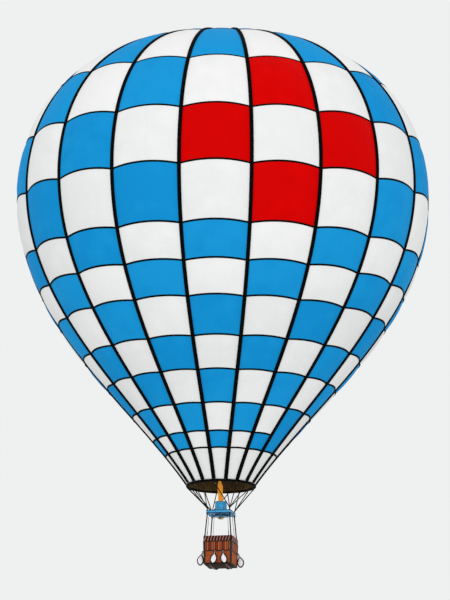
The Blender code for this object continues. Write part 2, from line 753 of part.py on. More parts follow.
def build_uprights(sleeve, steel):
    """Four padded poles that hold the frame over the basket, each with its steel stay beside it."""
    rim_centre = BASKET_TOP_HALF + RIM_OVERHANG - RIM_WIDTH / 2
    low, high = level(RIM_TOP) + TOUCH_GAP, level(FRAME_BOTTOM) - TOUCH_GAP
    collar = COLLAR_HEIGHT
    names = {(1, -1): "front_right", (1, 1): "back_right", (-1, 1): "back_left", (-1, -1): "front_left"}
    inset = 0.022
    for (sx, sy), name in names.items():
        foot = Vector((sx * (rim_centre - inset), sy * (rim_centre - inset), low))
        head = Vector((sx * CORNER_CENTRE, sy * CORNER_CENTRE, high))
        rings = []
        for share, radius in (
            (0.0, COLLAR_RADIUS),
            (collar / (high - low), COLLAR_RADIUS),
            (collar / (high - low) + 0.012, POLE_RADIUS),
            (1 - collar / (high - low) - 0.012, POLE_RADIUS),
            (1 - collar / (high - low), COLLAR_RADIUS),
            (1.0, COLLAR_RADIUS),
        ):
            rings.append(circle(foot.lerp(head, share), radius, POLE_SIDES))
        shape = bmesh.new()
        add_loft(shape, rings)
        add_object(f"upright_{name}", finish_mesh(f"upright_{name}", shape, 50), sleeve)

        along = Vector((-sx * STAY_SPACING, 0, 0))
        centre_line = Vector((sx * rim_centre, sy * rim_centre, low))
        stay_foot = centre_line + along * 1.4
        stay_head = head + along
        shape = bmesh.new()
        add_loft(shape, [circle(p, STAY_RADIUS, WIRE_SIDES) for p in (stay_foot, stay_head)])
        add_object(f"basket_stay_{name}", finish_mesh(f"basket_stay_{name}", shape, 60), steel)


def bag_radius(share):
    """The bag's radius at a share of its height down from the neck, a hanging drop."""
    if share < BAG_NECK_SHARE:
        return BAG_NECK_RADIUS * (1 + 0.25 * math.sin(math.pi * share / BAG_NECK_SHARE))
    down = (share - BAG_NECK_SHARE) / (1 - BAG_NECK_SHARE)
    swell = math.sin(math.pi * down ** 1.45) ** 0.78 if down < 1 else 0.0
    return BAG_NECK_RADIUS * (1 - down) + (BAG_RADIUS - 0.012) * max(swell, 0.0)


def build_sandbags(canvas):
    peg_underside = PEG_RADIUS * math.cos(math.pi / PEG_SIDES)
    top = level(MID_RAIL_HEIGHT) - peg_underside - TOUCH_GAP
    for name, foot, outward, splay in bag_places():
        rings = []
        for k in range(BAG_RINGS + 1):
            share = k / BAG_RINGS
            lean = math.sin(math.pi / 2 * min(share / 0.6, 1.0))
            offset = BAG_NECK_OFFSET + (BAG_BELLY_OFFSET - BAG_NECK_OFFSET) * lean
            centre = foot + outward * offset + splay * share + Vector((0, 0, top - share * BAG_HEIGHT))
            radius = max(bag_radius(share), 0.030 if k == BAG_RINGS else 0.0)
            rings.append(circle(centre, radius, BAG_SEGMENTS))
        shape = bmesh.new()
        add_loft(shape, rings)
        add_object(f"sandbag_{name}", finish_mesh(f"sandbag_{name}", shape, 60), canvas)


def build_fuel_cylinders(alloy):
    bottom = level(SKID_HEIGHT + FLOOR_THICKNESS) + TOUCH_GAP
    top = bottom + CYLINDER_HEIGHT
    profile = (
        (CYLINDER_RADIUS * 0.80, bottom),
        (CYLINDER_RADIUS, bottom + 0.035),
        (CYLINDER_RADIUS, top - 0.130),
        (CYLINDER_RADIUS * 0.86, top - 0.085),
        (CYLINDER_RADIUS * 0.60, top - 0.060),
        (CYLINDER_RADIUS * 0.60, top),
    )
    for sign, name in ((-1, "front_left"), (1, "back_right")):
        centre = Vector((sign * CYLINDER_CENTRE, sign * CYLINDER_CENTRE, 0))
        shape = bmesh.new()
        rings = [circle(centre + Vector((0, 0, z)), r, CYLINDER_SEGMENTS) for r, z in profile]
        add_loft(shape, rings)
        add_object(f"fuel_cylinder_{name}", finish_mesh(f"fuel_cylinder_{name}", shape, 35), alloy)


def clear_scene():
    for old in list(bpy.data.objects):
        bpy.data.objects.remove(old, do_unlink=True)


def main():
    clear_scene()
    white = material("White ripstop nylon", (0.86, 0.86, 0.86), 0.55)
    blue = material("Blue ripstop nylon", (0.010, 0.312, 0.702), 0.55)
    red = material("Red ripstop nylon", (0.672, 0.001, 0.001), 0.55)
    webbing = material("Black webbing", (0.012, 0.012, 0.012), 0.75)
    alloy = material("Spun aluminium", (0.75, 0.76, 0.78), 0.35, 1.0)
    steel = material("Dark steel wire", (0.030, 0.030, 0.032), 0.45, 0.8)
    paint = material("Blue enamelled steel", (0.015, 0.330, 0.700), 0.35)
    deep_blue = material("Dark blue gimbal enamel", (0.004, 0.040, 0.120), 0.35)
    dark = material("Blackened brass", (0.060, 0.050, 0.035), 0.40, 0.8)
    sleeve = material("Padded black sleeve", (0.015, 0.015, 0.016), 0.70)
    wicker = material("Chestnut wicker", (0.420, 0.130, 0.045), 0.60)
    rim_leather = material("Oxblood leather", (0.130, 0.030, 0.018), 0.50)
    edge_leather = material("Black leather", (0.014, 0.010, 0.009), 0.55)
    wood = material("Oiled plywood", (0.300, 0.160, 0.070), 0.60)
    canvas = material("White canvas", (0.800, 0.790, 0.770), 0.85)

    for index in range(GORES):
        build_gore(index, (white, blue, red))
    build_load_tapes(webbing)
    build_mouth_hem(webbing)
    build_crown_ring(alloy)
    build_parachute(blue)
    build_flying_wires(steel)
    build_load_frame(paint)
    build_gimbal_ring(deep_blue)
    build_burner(paint, alloy, dark)
    build_uprights(sleeve, steel)
    build_walls(wicker)
    build_floor(wood)
    build_edging(edge_leather)
    build_rim(rim_leather)
    build_sandbags(canvas)
    build_fuel_cylinders(alloy)


main()
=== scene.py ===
import bisect
import math

import bmesh
import bpy
from mathutils import Matrix, Quaternion, Vector


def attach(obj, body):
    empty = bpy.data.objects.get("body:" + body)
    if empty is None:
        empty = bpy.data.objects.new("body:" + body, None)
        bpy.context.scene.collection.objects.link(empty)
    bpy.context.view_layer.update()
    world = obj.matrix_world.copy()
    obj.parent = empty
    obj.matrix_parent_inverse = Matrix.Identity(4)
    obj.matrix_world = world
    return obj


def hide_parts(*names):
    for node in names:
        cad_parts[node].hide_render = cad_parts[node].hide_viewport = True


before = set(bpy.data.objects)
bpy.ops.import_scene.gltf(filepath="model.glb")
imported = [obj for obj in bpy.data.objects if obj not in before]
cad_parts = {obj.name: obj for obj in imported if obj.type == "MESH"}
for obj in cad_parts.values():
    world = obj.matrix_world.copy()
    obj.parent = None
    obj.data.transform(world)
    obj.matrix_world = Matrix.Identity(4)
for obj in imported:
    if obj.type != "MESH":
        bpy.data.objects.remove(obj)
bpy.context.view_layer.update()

liftHeight = 14.93                                # height of the origin over the basket's underside
forwards = Vector((0, -1, 0))
corners = (((1, -1), "front_right"), ((1, 1), "back_right"), ((-1, 1), "back_left"), ((-1, -1), "front_left"))


def level(height):                                # a height over the basket's underside, as z
    return height - liftHeight


def roundAxis(radius, angle, z):                  # angle from -Y, the front, towards +X
    return Vector((radius * math.sin(angle), -radius * math.cos(angle), z))


def turnZ(angle):
    return Matrix.Rotation(angle, 4, "Z")


def circlePoints(centre, across, rise, count):    # round an oval, whose two radii are given as vectors
    turns = [2 * math.pi * k / count for k in range(count)]
    return [Vector(centre) + Vector(across) * math.cos(t) + Vector(rise) * math.sin(t) for t in turns]


def smoothStep(value):
    value = min(max(value, 0.0), 1.0)
    return value * value * (3 - 2 * value)


# camera, light and floor
view = {
    "azimuth": 12.2, "lookUp": 12.0, "roll": 0.4,  # degrees: the camera stands low, right of the front
    "distance": 300.0, "lens": 450.0, "sensor": 36.0, "nearest": 1.0, "farthest": 3000.0,
    "aimRight": 0.105, "aimZ": -4.085,
    "skyColour": "#EFF0F0", "skyLight": 1.02,     # the sky's share that lights the balloon
    "floorTints": ("#E4E5E5", "#ECEDED"), "floorGlow": 0.04, "floorZ": -68.0, "floorSize": 3200,
    "sunPower": 1.02, "sunSpread": 24.0, "sunAzimuth": 2.0, "sunHeight": 3.0,
}
waveRepeat = 0.314159                             # metres from band to band in a wave texture of scale 1


def hexColour(code):                              # sRGB hex to the linear values that sockets take
    channels = [int(code[i:i + 2], 16) / 255 for i in (1, 3, 5)]
    return (*[c / 12.92 if c <= 0.04045 else ((c + 0.055) / 1.055) ** 2.4 for c in channels], 1.0)


def addNode(tree, kind, settings=None, links=None, stops=None):
    node = tree.nodes.new(kind)
    for name, value in (settings or {}).items():
        if isinstance(name, str) and hasattr(node, name):
            setattr(node, name, value)
        else:
            node.inputs[name].default_value = value
    for name, source in (links or {}).items():
        tree.links.new(source, node.inputs[name])
    if stops:                                     # a colour ramp's places and hex colours
        ramp = node.color_ramp
        ramp.elements[0].position, ramp.elements[0].color = stops[0][0], hexColour(stops[0][1])
        ramp.elements[1].position, ramp.elements[1].color = stops[-1][0], hexColour(stops[-1][1])
        for place, code in stops[1:-1]:
            ramp.elements.new(place).color = hexColour(code)
    return node


def makeMaterial(name, sockets, tints, patchSize, grainSize, grainDepth, stretch=(1, 1, 1), pattern="Object"):
    # soft patches between the tints, and a fine grain in the surface; sizes in metres
    made = bpy.data.materials.new(name)
    made.use_nodes = True
    tree = made.node_tree
    shader = tree.nodes["Principled BSDF"]
    for socket, value in sockets.items():
        shader.inputs[socket].default_value = value
    source = addNode(tree, "ShaderNodeTexCoord")
    place = addNode(tree, "ShaderNodeMapping", {"Scale": stretch}, {"Vector": source.outputs[pattern]})
    spots = {"Vector": place.outputs[0]}
    patches = addNode(tree, "ShaderNodeTexNoise", {"Scale": 1 / patchSize, "Detail": 4.0}, spots)
    stops = [(0.32 + 0.36 * k / (len(tints) - 1), tint) for k, tint in enumerate(tints)]
    colour = addNode(tree, "ShaderNodeValToRGB", None, {"Fac": patches.outputs["Fac"]}, stops)
    tree.links.new(colour.outputs["Color"], shader.inputs["Base Color"])
    grain = addNode(tree, "ShaderNodeTexNoise", {"Scale": 1 / grainSize, "Detail": 3.0}, spots)
    relief = {"Strength": 0.6, "Distance": grainDepth}
    bump = addNode(tree, "ShaderNodeBump", relief, {"Height": grain.outputs["Fac"]})
    tree.links.new(bump.outputs["Normal"], shader.inputs["Normal"])
    return made, tree, shader, place, colour, bump


# each plain finish: its material's name, its sockets and tints, the sizes of its patches and its grain, the
# depth of the grain, and how far the pattern is drawn together along X, Y and Z
finishes = {
    # black plastic-coated wire rope: a dull skin over twisted strands
    "rope": ("Coated wire rope, black", {"Roughness": 0.7, "Specular IOR Level": 0.12},
             ("#040404", "#090909"), 0.05, 0.008, 0.0012),
    # blackened steel fittings: near black, dull under the oxide, a little blotched
    "steel": ("Blackened steel", {"Metallic": 0.5, "Roughness": 0.6},
              ("#101113", "#1E1F22"), 0.03, 0.002, 0.0003),
    # forged aluminium, satin anodised, a little brighter where the tapes have rubbed it
    "anodised": ("Anodised aluminium, satin", {"Metallic": 1.0, "Roughness": 0.34},
                 ("#A9ADB2", "#C9CCD0"), 0.05, 0.004, 0.0004),
    # stoved enamel on folded steel: even, smooth and slightly glossy
    "enamel": ("Stoved enamel, blue", {"Roughness": 0.34, "Specular IOR Level": 0.3},
               ("#2F99D4", "#40A9DD"), 0.25, 0.02, 0.0004),
    # the same enamel in navy, on the gimbal ring
    "darkEnamel": ("Stoved enamel, navy", {"Roughness": 0.36}, ("#03203F", "#062C52"), 0.2, 0.01, 0.0003),
    # moulded rubber edging: navy and matt
    "rubber": ("Moulded rubber, navy", {"Roughness": 0.7, "Specular IOR Level": 0.3},
               ("#04070D", "#080D16"), 0.06, 0.003, 0.0004),
    # stainless steel that has been hot: straw, brown and blue tints in soft bands
    "heatSteel": ("Heat-tinted stainless steel", {"Metallic": 1.0, "Roughness": 0.4},
                  ("#6E7A8A", "#8C7A62", "#A89A86", "#5C6472"), 0.09, 0.004, 0.0004),
    # machined brass, gone dull
    "brass": ("Machined brass", {"Metallic": 1.0, "Roughness": 0.36},
              ("#8E6F3A", "#B08C4E"), 0.03, 0.002, 0.0003),
    # enamelled steel under a coat of soot: black and quite matt; on the bottoms of the air slots the same
    # black is painted shade
    "soot": ("Soot-blackened steel", {"Roughness": 0.8}, ("#0C0C0D", "#171719"), 0.05, 0.004, 0.0004),
    # printed card: white, even and matt
    "dial": ("Gauge face, white", {"Roughness": 0.5}, ("#D9D8D2", "#E4E3DD"), 0.02, 0.002, 0.0001),
    # upholstery leather over foam: fine pebbled grain, softly shining on its swells
    "leather": ("Grained leather, black", {"Roughness": 0.5, "Specular IOR Level": 0.2},
                ("#050404", "#110F0E"), 0.05, 0.004, 0.0010),
    "oxblood": ("Grained leather, oxblood", {"Roughness": 0.5, "Specular IOR Level": 0.12},
                ("#1B0101", "#300403", "#3A0705"), 0.09, 0.005, 0.0012),
    # untanned hide cut in strips: paler than the leather, and drier
    "thong": ("Rawhide thong, pinkish brown", {"Roughness": 0.6, "Specular IOR Level": 0.2},
              ("#96604E", "#B58470"), 0.03, 0.003, 0.0008),
    # peeled willow, stained chestnut: each rod streaked along its length
    "willow": ("Buff willow, chestnut stain", {"Roughness": 0.58, "Specular IOR Level": 0.12},
               ("#90401F", "#BB6032", "#D17643"), 0.045, 0.004, 0.0010, (1.0, 1.0, 2.2)),
    # willow split into slats, in three tones of the stain, each with its grain along the slat
    "slatOrange": ("Split willow, orange", {"Roughness": 0.6, "Specular IOR Level": 0.12},
                   ("#9C4A22", "#BC6232"), 0.04, 0.004, 0.0012, (5, 5, 0.6)),
    "slatRose": ("Split willow, rose", {"Roughness": 0.6, "Specular IOR Level": 0.12},
                 ("#7E412B", "#A25C41"), 0.04, 0.004, 0.0012, (5, 5, 0.6)),
    "slatDark": ("Split willow, dark", {"Roughness": 0.6, "Specular IOR Level": 0.12},
                 ("#632410", "#823217"), 0.04, 0.004, 0.0012, (5, 5, 0.6)),
    # the dark that shows between rods and between slats
    "shadowWood": ("Willow in shade", {"Roughness": 0.8, "Specular IOR Level": 0.1},
                   ("#1C0C06", "#3A1B0E"), 0.03, 0.006, 0.002, (1, 1, 3)),
    # oiled birch plywood: warm brown, with its figure in long streaks
    "ply": ("Birch plywood, oiled", {"Roughness": 0.55},
            ("#6E4A28", "#8A6238", "#9C7344"), 0.12, 0.006, 0.0006, (9, 1, 1)),
    # the underside is dark brown as painted shade under the basket: dull and streaked
    "pitch": ("Plywood, pitched underside", {"Roughness": 0.8, "Specular IOR Level": 0.1},
              ("#1C1009", "#2E1C10"), 0.10, 0.006, 0.0008, (9, 1, 1)),
    # planed ash, greyed by grass and mud: dull, with its grain along the runner
    "ash": ("Ash runner, worn", {"Roughness": 0.65}, ("#3E2A1A", "#5C4128"), 0.1, 0.006, 0.0008, (9, 1, 9)),
    # waxed linen thread: grey and a little uneven
    "thread": ("Waxed thread, grey", {"Roughness": 0.7}, ("#5A5552", "#6E6864"), 0.01, 0.002, 0.0003),
    # heavy plain-woven cotton: off-white and quite matt
    "canvas": ("Duck canvas, white", {"Roughness": 0.85, "Specular IOR Level": 0.08},
               ("#E3E1E5", "#F0EEF3"), 0.08, 0.004, 0.0010),
    # laid cotton rope: soft, black and matt
    "laidRope": ("Laid rope, black", {"Roughness": 0.8, "Specular IOR Level": 0.08},
                 ("#050505", "#0C0B0B"), 0.02, 0.006, 0.0015),
    # aluminium brushed round and round: fine level lines that draw its shine out
    "alloy": ("Brushed aluminium", {"Metallic": 1.0, "Roughness": 0.36},
              ("#A2A6AA", "#B9BDC1"), 0.2, 0.003, 0.0004, (1, 1, 22)),
    # painted casting: a plain signal red, slightly glossy
    "redCap": ("Cast handwheel, red", {"Roughness": 0.45}, ("#8E1310", "#A41B16"), 0.03, 0.003, 0.0003),
    # flame-proof aramid cloth: dark brown, partly from heat and soot and partly as painted shade for the
    # inside of the mouth; matt, with a coarse plain weave
    "aramid": ("Aramid cloth, black", {"Roughness": 0.85, "Specular IOR Level": 0.15},
               ("#25231E", "#39352B"), 0.5, 0.012, 0.002),
}
finish = {key: makeMaterial(*entry)[0] for key, entry in finishes.items()}


def skyDirection(azimuth, height):                # from the balloon's middle, with angles in degrees
    azimuth, height = math.radians(azimuth), math.radians(height)
    return roundAxis(math.cos(height), azimuth, math.sin(height))


def setTheView():
    back = skyDirection(view["azimuth"], -view["lookUp"])
    right = skyDirection(view["azimuth"] + 90, 0)
    aim = right * view["aimRight"] + Vector((0, 0, view["aimZ"]))
    turn = (-back).to_track_quat("-Z", "Y") @ Quaternion((0, 0, 1), math.radians(view["roll"]))
    bpy.ops.object.camera_add(location=aim + back * view["distance"], rotation=turn.to_euler())
    camera = bpy.context.object
    camera.name = "camera"
    camera.data.lens, camera.data.sensor_width = view["lens"], view["sensor"]
    camera.data.clip_start, camera.data.clip_end = view["nearest"], view["farthest"]
    bpy.context.scene.camera = camera

    towards = skyDirection(view["azimuth"] + view["sunAzimuth"], view["sunHeight"])
    turn = towards.to_track_quat("Z", "Y").to_euler()
    bpy.ops.object.light_add(type="SUN", location=towards * 40, rotation=turn)
    sun = bpy.context.object
    sun.data.energy, sun.data.angle = view["sunPower"], math.radians(view["sunSpread"])

    world = bpy.data.worlds.new("Pale studio")
    bpy.context.scene.world = world
    world.use_nodes = True
    sky = world.node_tree.nodes["Background"]
    sky.inputs["Color"].default_value = hexColour(view["skyColour"])
    rays = addNode(world.node_tree, "ShaderNodeLightPath")
    lit = view["skyLight"]                        # the camera itself sees the sky at full strength
    share = addNode(world.node_tree, "ShaderNodeMath", {"operation": "MULTIPLY_ADD", 1: 1 - lit, 2: lit},
                    {0: rays.outputs["Is Camera Ray"]})
    world.node_tree.links.new(share.outputs[0], sky.inputs["Strength"])
    bpy.context.scene.view_settings.view_transform = "Standard"

    bpy.ops.mesh.primitive_plane_add(size=view["floorSize"], location=(0, 0, view["floorZ"]))
    floor = bpy.context.object
    floor.name = "studio_floor"
    sockets = {
        "Roughness": 0.9, "Specular IOR Level": 0.1,
        "Emission Color": hexColour(view["skyColour"]), "Emission Strength": view["floorGlow"],
    }
    paint = makeMaterial("Painted studio floor", sockets, view["floorTints"], 90, 3.0, 0.01)[0]
    floor.data.materials.append(paint)


# what every piece needs
def pick(*objects):                               # these alone are selected, the last one active
    bpy.ops.object.select_all(action="DESELECT")
    for one in objects:
        one.select_set(True)
    bpy.context.view_layer.objects.active = objects[-1]


def settle(piece):                                # its place, turn and size go into its mesh
    pick(piece)
    bpy.ops.object.transform_apply(location=True, rotation=True, scale=True)


def selectFaces(piece, test):                     # in edit mode: the faces that pass, by centre and normal
    bpy.ops.mesh.select_mode(type="FACE")
    bpy.ops.mesh.select_all(action="DESELECT")
    shape = bmesh.from_edit_mesh(piece.data)
    for face in shape.faces:
        if test(face.calc_center_median(), face.normal):
            face.select_set(True)
    bmesh.update_edit_mesh(piece.data)


def paintFaces(piece, slotIndex, test):           # in edit mode: the faces that pass take another material
    selectFaces(piece, test)
    piece.active_material_index = slotIndex
    bpy.ops.object.material_slot_assign()


def joinPieces(parts):
    pick(*parts)
    if len(parts) > 1:
        bpy.ops.object.join()
    return bpy.context.view_layer.objects.active


def finishPiece(piece, name, body, nodes=(), smooth=35):
    pick(piece)
    for step in list(piece.modifiers):
        bpy.ops.object.modifier_apply(modifier=step.name)
    bpy.ops.object.transform_apply(location=True, rotation=True, scale=True)
    if smooth:
        bpy.ops.object.shade_smooth_by_angle(angle=math.radians(smooth))
    piece.name = piece.data.name = name
    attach(piece, body)
    if nodes:
        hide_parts(*nodes)
    return piece


def copyPiece(piece, move):                       # a copy with a mesh of its own, moved by a matrix
    made = piece.copy()
    made.data = piece.data.copy()
    made.data.transform(move)
    if move.determinant() < 0:
        made.data.flip_normals()
    bpy.context.scene.collection.objects.link(made)
    return made


def spreadCopies(model, moves):                   # a copy for each matrix, after which the model goes
    copies = [copyPiece(model, move) for move in moves]
    bpy.data.objects.remove(model)
    return copies


def softenEdges(piece, width, segments=2, sharpest=35):
    soft = piece.modifiers.new("Edges", "BEVEL")
    soft.width, soft.segments = width, segments
    soft.limit_method, soft.angle_limit = "ANGLE", math.radians(sharpest)
    soft.use_clamp_overlap = True
    return piece


def addBlock(low, high, material, bevel=0.003, steps=2):
    low, high = Vector(low), Vector(high)
    bpy.ops.mesh.primitive_cube_add(size=1, location=(low + high) / 2, scale=high - low)
    block = bpy.context.object
    settle(block)
    if bevel:
        bpy.ops.object.mode_set(mode="EDIT")
        bpy.ops.mesh.select_all(action="SELECT")
        bpy.ops.mesh.bevel(offset=bevel, segments=steps, affect="EDGES")
        bpy.ops.object.mode_set(mode="OBJECT")
    block.data.materials.append(material)
    return block


def addTube(points, radius, material, sides=8, closed=False, radii=None):
    # a rod, rope or wire bent along points, with the radius of each point where radii is given
    line = bpy.data.curves.new("tube", "CURVE")
    line.dimensions = "3D"
    line.bevel_depth, line.bevel_resolution = radius, max((sides - 4) // 2, 0)
    line.use_fill_caps = not closed
    spline = line.splines.new("POLY")
    spline.points.add(len(points) - 1)
    for k, place in enumerate(points):
        spline.points[k].co = (*place, 1.0)
        spline.points[k].radius = radii[k] / radius if radii else 1.0
    spline.use_cyclic_u = closed
    tube = bpy.data.objects.new("tube", line)
    bpy.context.scene.collection.objects.link(tube)
    pick(tube)
    bpy.ops.object.convert(target="MESH")
    tube = bpy.context.object
    tube.data.materials.clear()
    tube.data.materials.append(material)
    return tube


def addTurned(profile, material, segments=48, closed=False):
    # a ring raised and widened step by step through (radius, z), then capped or joined to its start
    radius, z = profile[0]
    bpy.ops.mesh.primitive_circle_add(vertices=segments, radius=radius, location=(0, 0, z))
    piece = bpy.context.object
    settle(piece)
    bpy.ops.object.mode_set(mode="EDIT")
    bpy.ops.mesh.select_mode(type="VERT")
    bpy.ops.mesh.select_all(action="SELECT")
    for wider, higher in profile[1:]:
        bpy.ops.mesh.extrude_region()
        bpy.ops.transform.translate(value=(0, 0, higher - z))
        bpy.ops.transform.resize(value=(wider / radius, wider / radius, 1), center_override=(0, 0, higher))
        radius, z = wider, higher
    bpy.ops.mesh.select_all(action="SELECT")
    bpy.ops.mesh.region_to_loop()
    if closed:
        bpy.ops.mesh.bridge_edge_loops()
    else:
        bpy.ops.mesh.fill_holes(sides=0)
    bpy.ops.mesh.select_all(action="SELECT")
    bpy.ops.mesh.normals_make_consistent(inside=False)
    bpy.ops.object.mode_set(mode="OBJECT")
    piece.data.materials.append(material)
    return piece


def aimMatrix(start, along):                      # turns a piece made along +Z to point along a line
    return Matrix.Translation(start) @ along.to_track_quat("Z", "Y").to_matrix().to_4x4()


def meshPiece(name, shape, *materials):           # soft goods: a mesh built in code becomes an object
    mesh = bpy.data.meshes.new(name)
    shape.to_mesh(mesh)
    shape.free()
    for material in materials:
        mesh.materials.append(material)
    piece = bpy.data.objects.new(name, mesh)
    bpy.context.scene.collection.objects.link(piece)
    return piece


def skinRings(name, rings, material, loop=False):
    # soft goods: rings of equal length skinned into one closed skin
    shape = bmesh.new()
    made = [[shape.verts.new(point) for point in ring] for ring in rings]
    pairs = list(zip(made[:-1], made[1:]))
    if loop:
        pairs.append((made[-1], made[0]))
    count = len(made[0])
    for low, high in pairs:
        for k in range(count):
            after = (k + 1) % count
            shape.faces.new((low[k], low[after], high[after], high[k]))
    if not loop:
        shape.faces.new(list(reversed(made[0])))
        shape.faces.new(made[-1])
    bmesh.ops.recalc_face_normals(shape, faces=shape.faces)
    return meshPiece(name, shape, material)


def giveWall(piece, thickness):                   # the cloth's thickness, inwards from its outer face
    wall = piece.modifiers.new("Fabric", "SOLIDIFY")
    wall.thickness, wall.offset = thickness, -1


# the envelope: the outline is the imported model's, but the gores lie flatter here and most seams lie lower
envelope = {
    "radius": 8.25, "crownHeight": 21.61, "crownFlatness": 6.85, "shoulder": 2.46, "waist": 4.98,
    "mouthRadius": 1.35, "mouthHeight": 3.31, "coneAngle": 34.6, "coneLength": 4.15, "openingRadius": 2.05,
    "gores": 18, "valley": 0.992, "bulge": 0.011, "seamArch": 0.018, "endGather": 1.0,
    "seamHeights": (21.05, 19.20, 16.93, 14.60, 12.31, 10.93, 9.65, 8.27, 7.11, 5.97, 5.00, 4.42),
}
goreAngle = 2 * math.pi / envelope["gores"]


def cubicPoints(handles, steps=300):
    points = []
    for k in range(steps + 1):
        t = k / steps
        weights = ((1 - t) ** 3, 3 * (1 - t) ** 2 * t, 3 * (1 - t) * t * t, t ** 3)
        points.append(tuple(sum(w * h[i] for w, h in zip(weights, handles)) for i in (0, 1)))
    return points


def outlineLine():                                # (radius, height) from the crown down to the mouth
    cone = math.radians(envelope["coneAngle"])
    foot = (
        envelope["mouthRadius"] + envelope["coneLength"] * math.sin(cone),
        envelope["mouthHeight"] + envelope["coneLength"] * math.cos(cone),
    )
    wide, top, mid = envelope["radius"], envelope["crownHeight"], liftHeight
    shoulder = ((0, top), (envelope["crownFlatness"], top), (wide, mid + envelope["shoulder"]), (wide, mid))
    mouthEnd = (envelope["mouthRadius"], envelope["mouthHeight"])
    waist = ((wide, mid), (wide, mid - envelope["waist"]), foot, mouthEnd)
    return cubicPoints(shoulder)[:-1] + cubicPoints(waist)


outline = outlineLine()
outlineArcs = [0.0]
for (innerRadius, innerHeight), (outerRadius, outerHeight) in zip(outline[:-1], outline[1:]):
    outlineArcs.append(outlineArcs[-1] + math.hypot(outerRadius - innerRadius, outerHeight - innerHeight))
outlineLength = outlineArcs[-1]


def outlineAt(arc):                               # radius, z and the outward direction's two parts
    k = min(max(bisect.bisect_left(outlineArcs, arc), 1), len(outlineArcs) - 1)
    (r0, h0), (r1, h1) = outline[k - 1], outline[k]
    span = outlineArcs[k] - outlineArcs[k - 1]
    share = (arc - outlineArcs[k - 1]) / span
    return r0 + (r1 - r0) * share, level(h0 + (h1 - h0) * share), (h0 - h1) / span, (r1 - r0) / span


def arcAtHeight(height):
    k = next(i for i, (_, h) in enumerate(outline) if h < height)
    share = (outline[k - 1][1] - height) / (outline[k - 1][1] - outline[k][1])
    return outlineArcs[k - 1] + (outlineArcs[k] - outlineArcs[k - 1]) * share


def arcAtRadius(radius):                          # on the crown side
    k = next(i for i, (r, _) in enumerate(outline) if r > radius)
    share = (radius - outline[k - 1][0]) / (outline[k][0] - outline[k - 1][0])
    return outlineArcs[k - 1] + (outlineArcs[k] - outlineArcs[k - 1]) * share


openingArc = arcAtRadius(envelope["openingRadius"] / envelope["valley"])
seamArcs = [arcAtHeight(h) for h in envelope["seamHeights"]]
rowEdges = [openingArc, *seamArcs, outlineLength]


def gatherShare(arc):
    return smoothStep(min(arc - openingArc, outlineLength - arc) / envelope["endGather"])


def fabricPoint(angle, u, arc):                   # u runs from -1 at one load tape to 1 at the next
    openShare, crest = gatherShare(arc), 1 - u * u
    arch = envelope["seamArch"] * outlineAt(arc)[0] * openShare * crest
    radius, z, out, up = outlineAt(arc - arch)
    bulge = envelope["bulge"] * radius * openShare * crest
    turn = angle + u * goreAngle / 2
    return roundAxis(radius * envelope["valley"] + out * bulge, turn, z + up * bulge)


relief = {
    "pillow": 0.030,                              # how far a panel swells between its seams
    "pucker": 0.0075, "puckerLength": 0.46,       # the small folds that the sewing draws in along each tape
    "tapeReach": 0.26, "seamReach": 0.20,         # how far from a tape or a seam they die away
    "loadTapeHalf": 0.078, "seamTapeHalf": 0.040,
}


def panelRelief(u, arc, edges):
    row = min(max(bisect.bisect_right(edges, arc) - 1, 0), len(edges) - 2)
    halfWidth = outlineAt(arc)[0] * goreAngle / 2
    fromTape = (1 - abs(u)) * halfWidth - relief["loadTapeHalf"]
    fromSeam = min(arc - edges[row], edges[row + 1] - arc) - relief["seamTapeHalf"]
    if fromTape <= 0 or fromSeam <= 0:
        return 0.0
    size = min(halfWidth, edges[row + 1] - edges[row])
    swell = relief["pillow"] * smoothStep(fromTape / 0.5) * smoothStep(fromSeam / 0.5) * min(size / 0.9, 1.0)
    wave, across = 2 * math.pi / relief["puckerLength"], u * halfWidth
    downTape = math.sin(wave * arc + 1.9 * math.sin(2.3 * arc) + (2.0 if u < 0 else 0.0))
    alongSeam = math.sin(wave * across + 1.6 * math.sin(3.1 * across + row))
    besideTape = smoothStep(fromTape / 0.07) * math.exp(-fromTape / relief["tapeReach"]) * downTape
    besideSeam = smoothStep(fromSeam / 0.07) * math.exp(-fromSeam / relief["seamReach"]) * alongSeam
    fade = smoothStep(fromTape / 0.1) * smoothStep(fromSeam / 0.1)
    return swell + relief["pucker"] * gatherShare(arc) * (besideTape + besideSeam) * fade


def sewnPoint(angle, u, arc, lift, edges=None):   # a point on the dressed fabric, raised off it by lift
    step = 0.01
    centre = fabricPoint(angle, u, arc)
    sideways = fabricPoint(angle, u + step, arc) - fabricPoint(angle, u - step, arc)
    downwards = fabricPoint(angle, u, arc + step) - fabricPoint(angle, u, max(arc - step, 0.02))
    outward = downwards.cross(sideways).normalized()
    return centre + outward * (lift + (panelRelief(u, arc, edges) if edges else 0.0))


# sewn fabric panels
fabric = {
    "columns": 30, "step": 0.115, "thickness": 0.004, "creaseSize": 0.55, "toneSpread": 0.22,
    "tints": {"white": ("#E8E8E8", "#EEEEED"), "blue": ("#118DCF", "#1895D6"), "red": ("#CF0101", "#D80201")},
    "threadSpacing": 0.12,                        # 5 mm on the real cloth; drawn coarse so that it shows
    "redPanels": ((0, 3), (1, 2), (1, 4), (2, 3)),
    "longGores": (3, 4), "missingSeam": 10,       # these gores have one long panel for two
}


def panelColour(gore, row):                       # 0 white, 1 blue, 2 red
    if (gore, row) in fabric["redPanels"]:
        return 2
    if gore in fabric["longGores"] and row == fabric["missingSeam"] + 1:
        return 1 if gore == fabric["longGores"][0] else 0
    if row == len(seamArcs):
        return 0
    return (gore + row) % 2


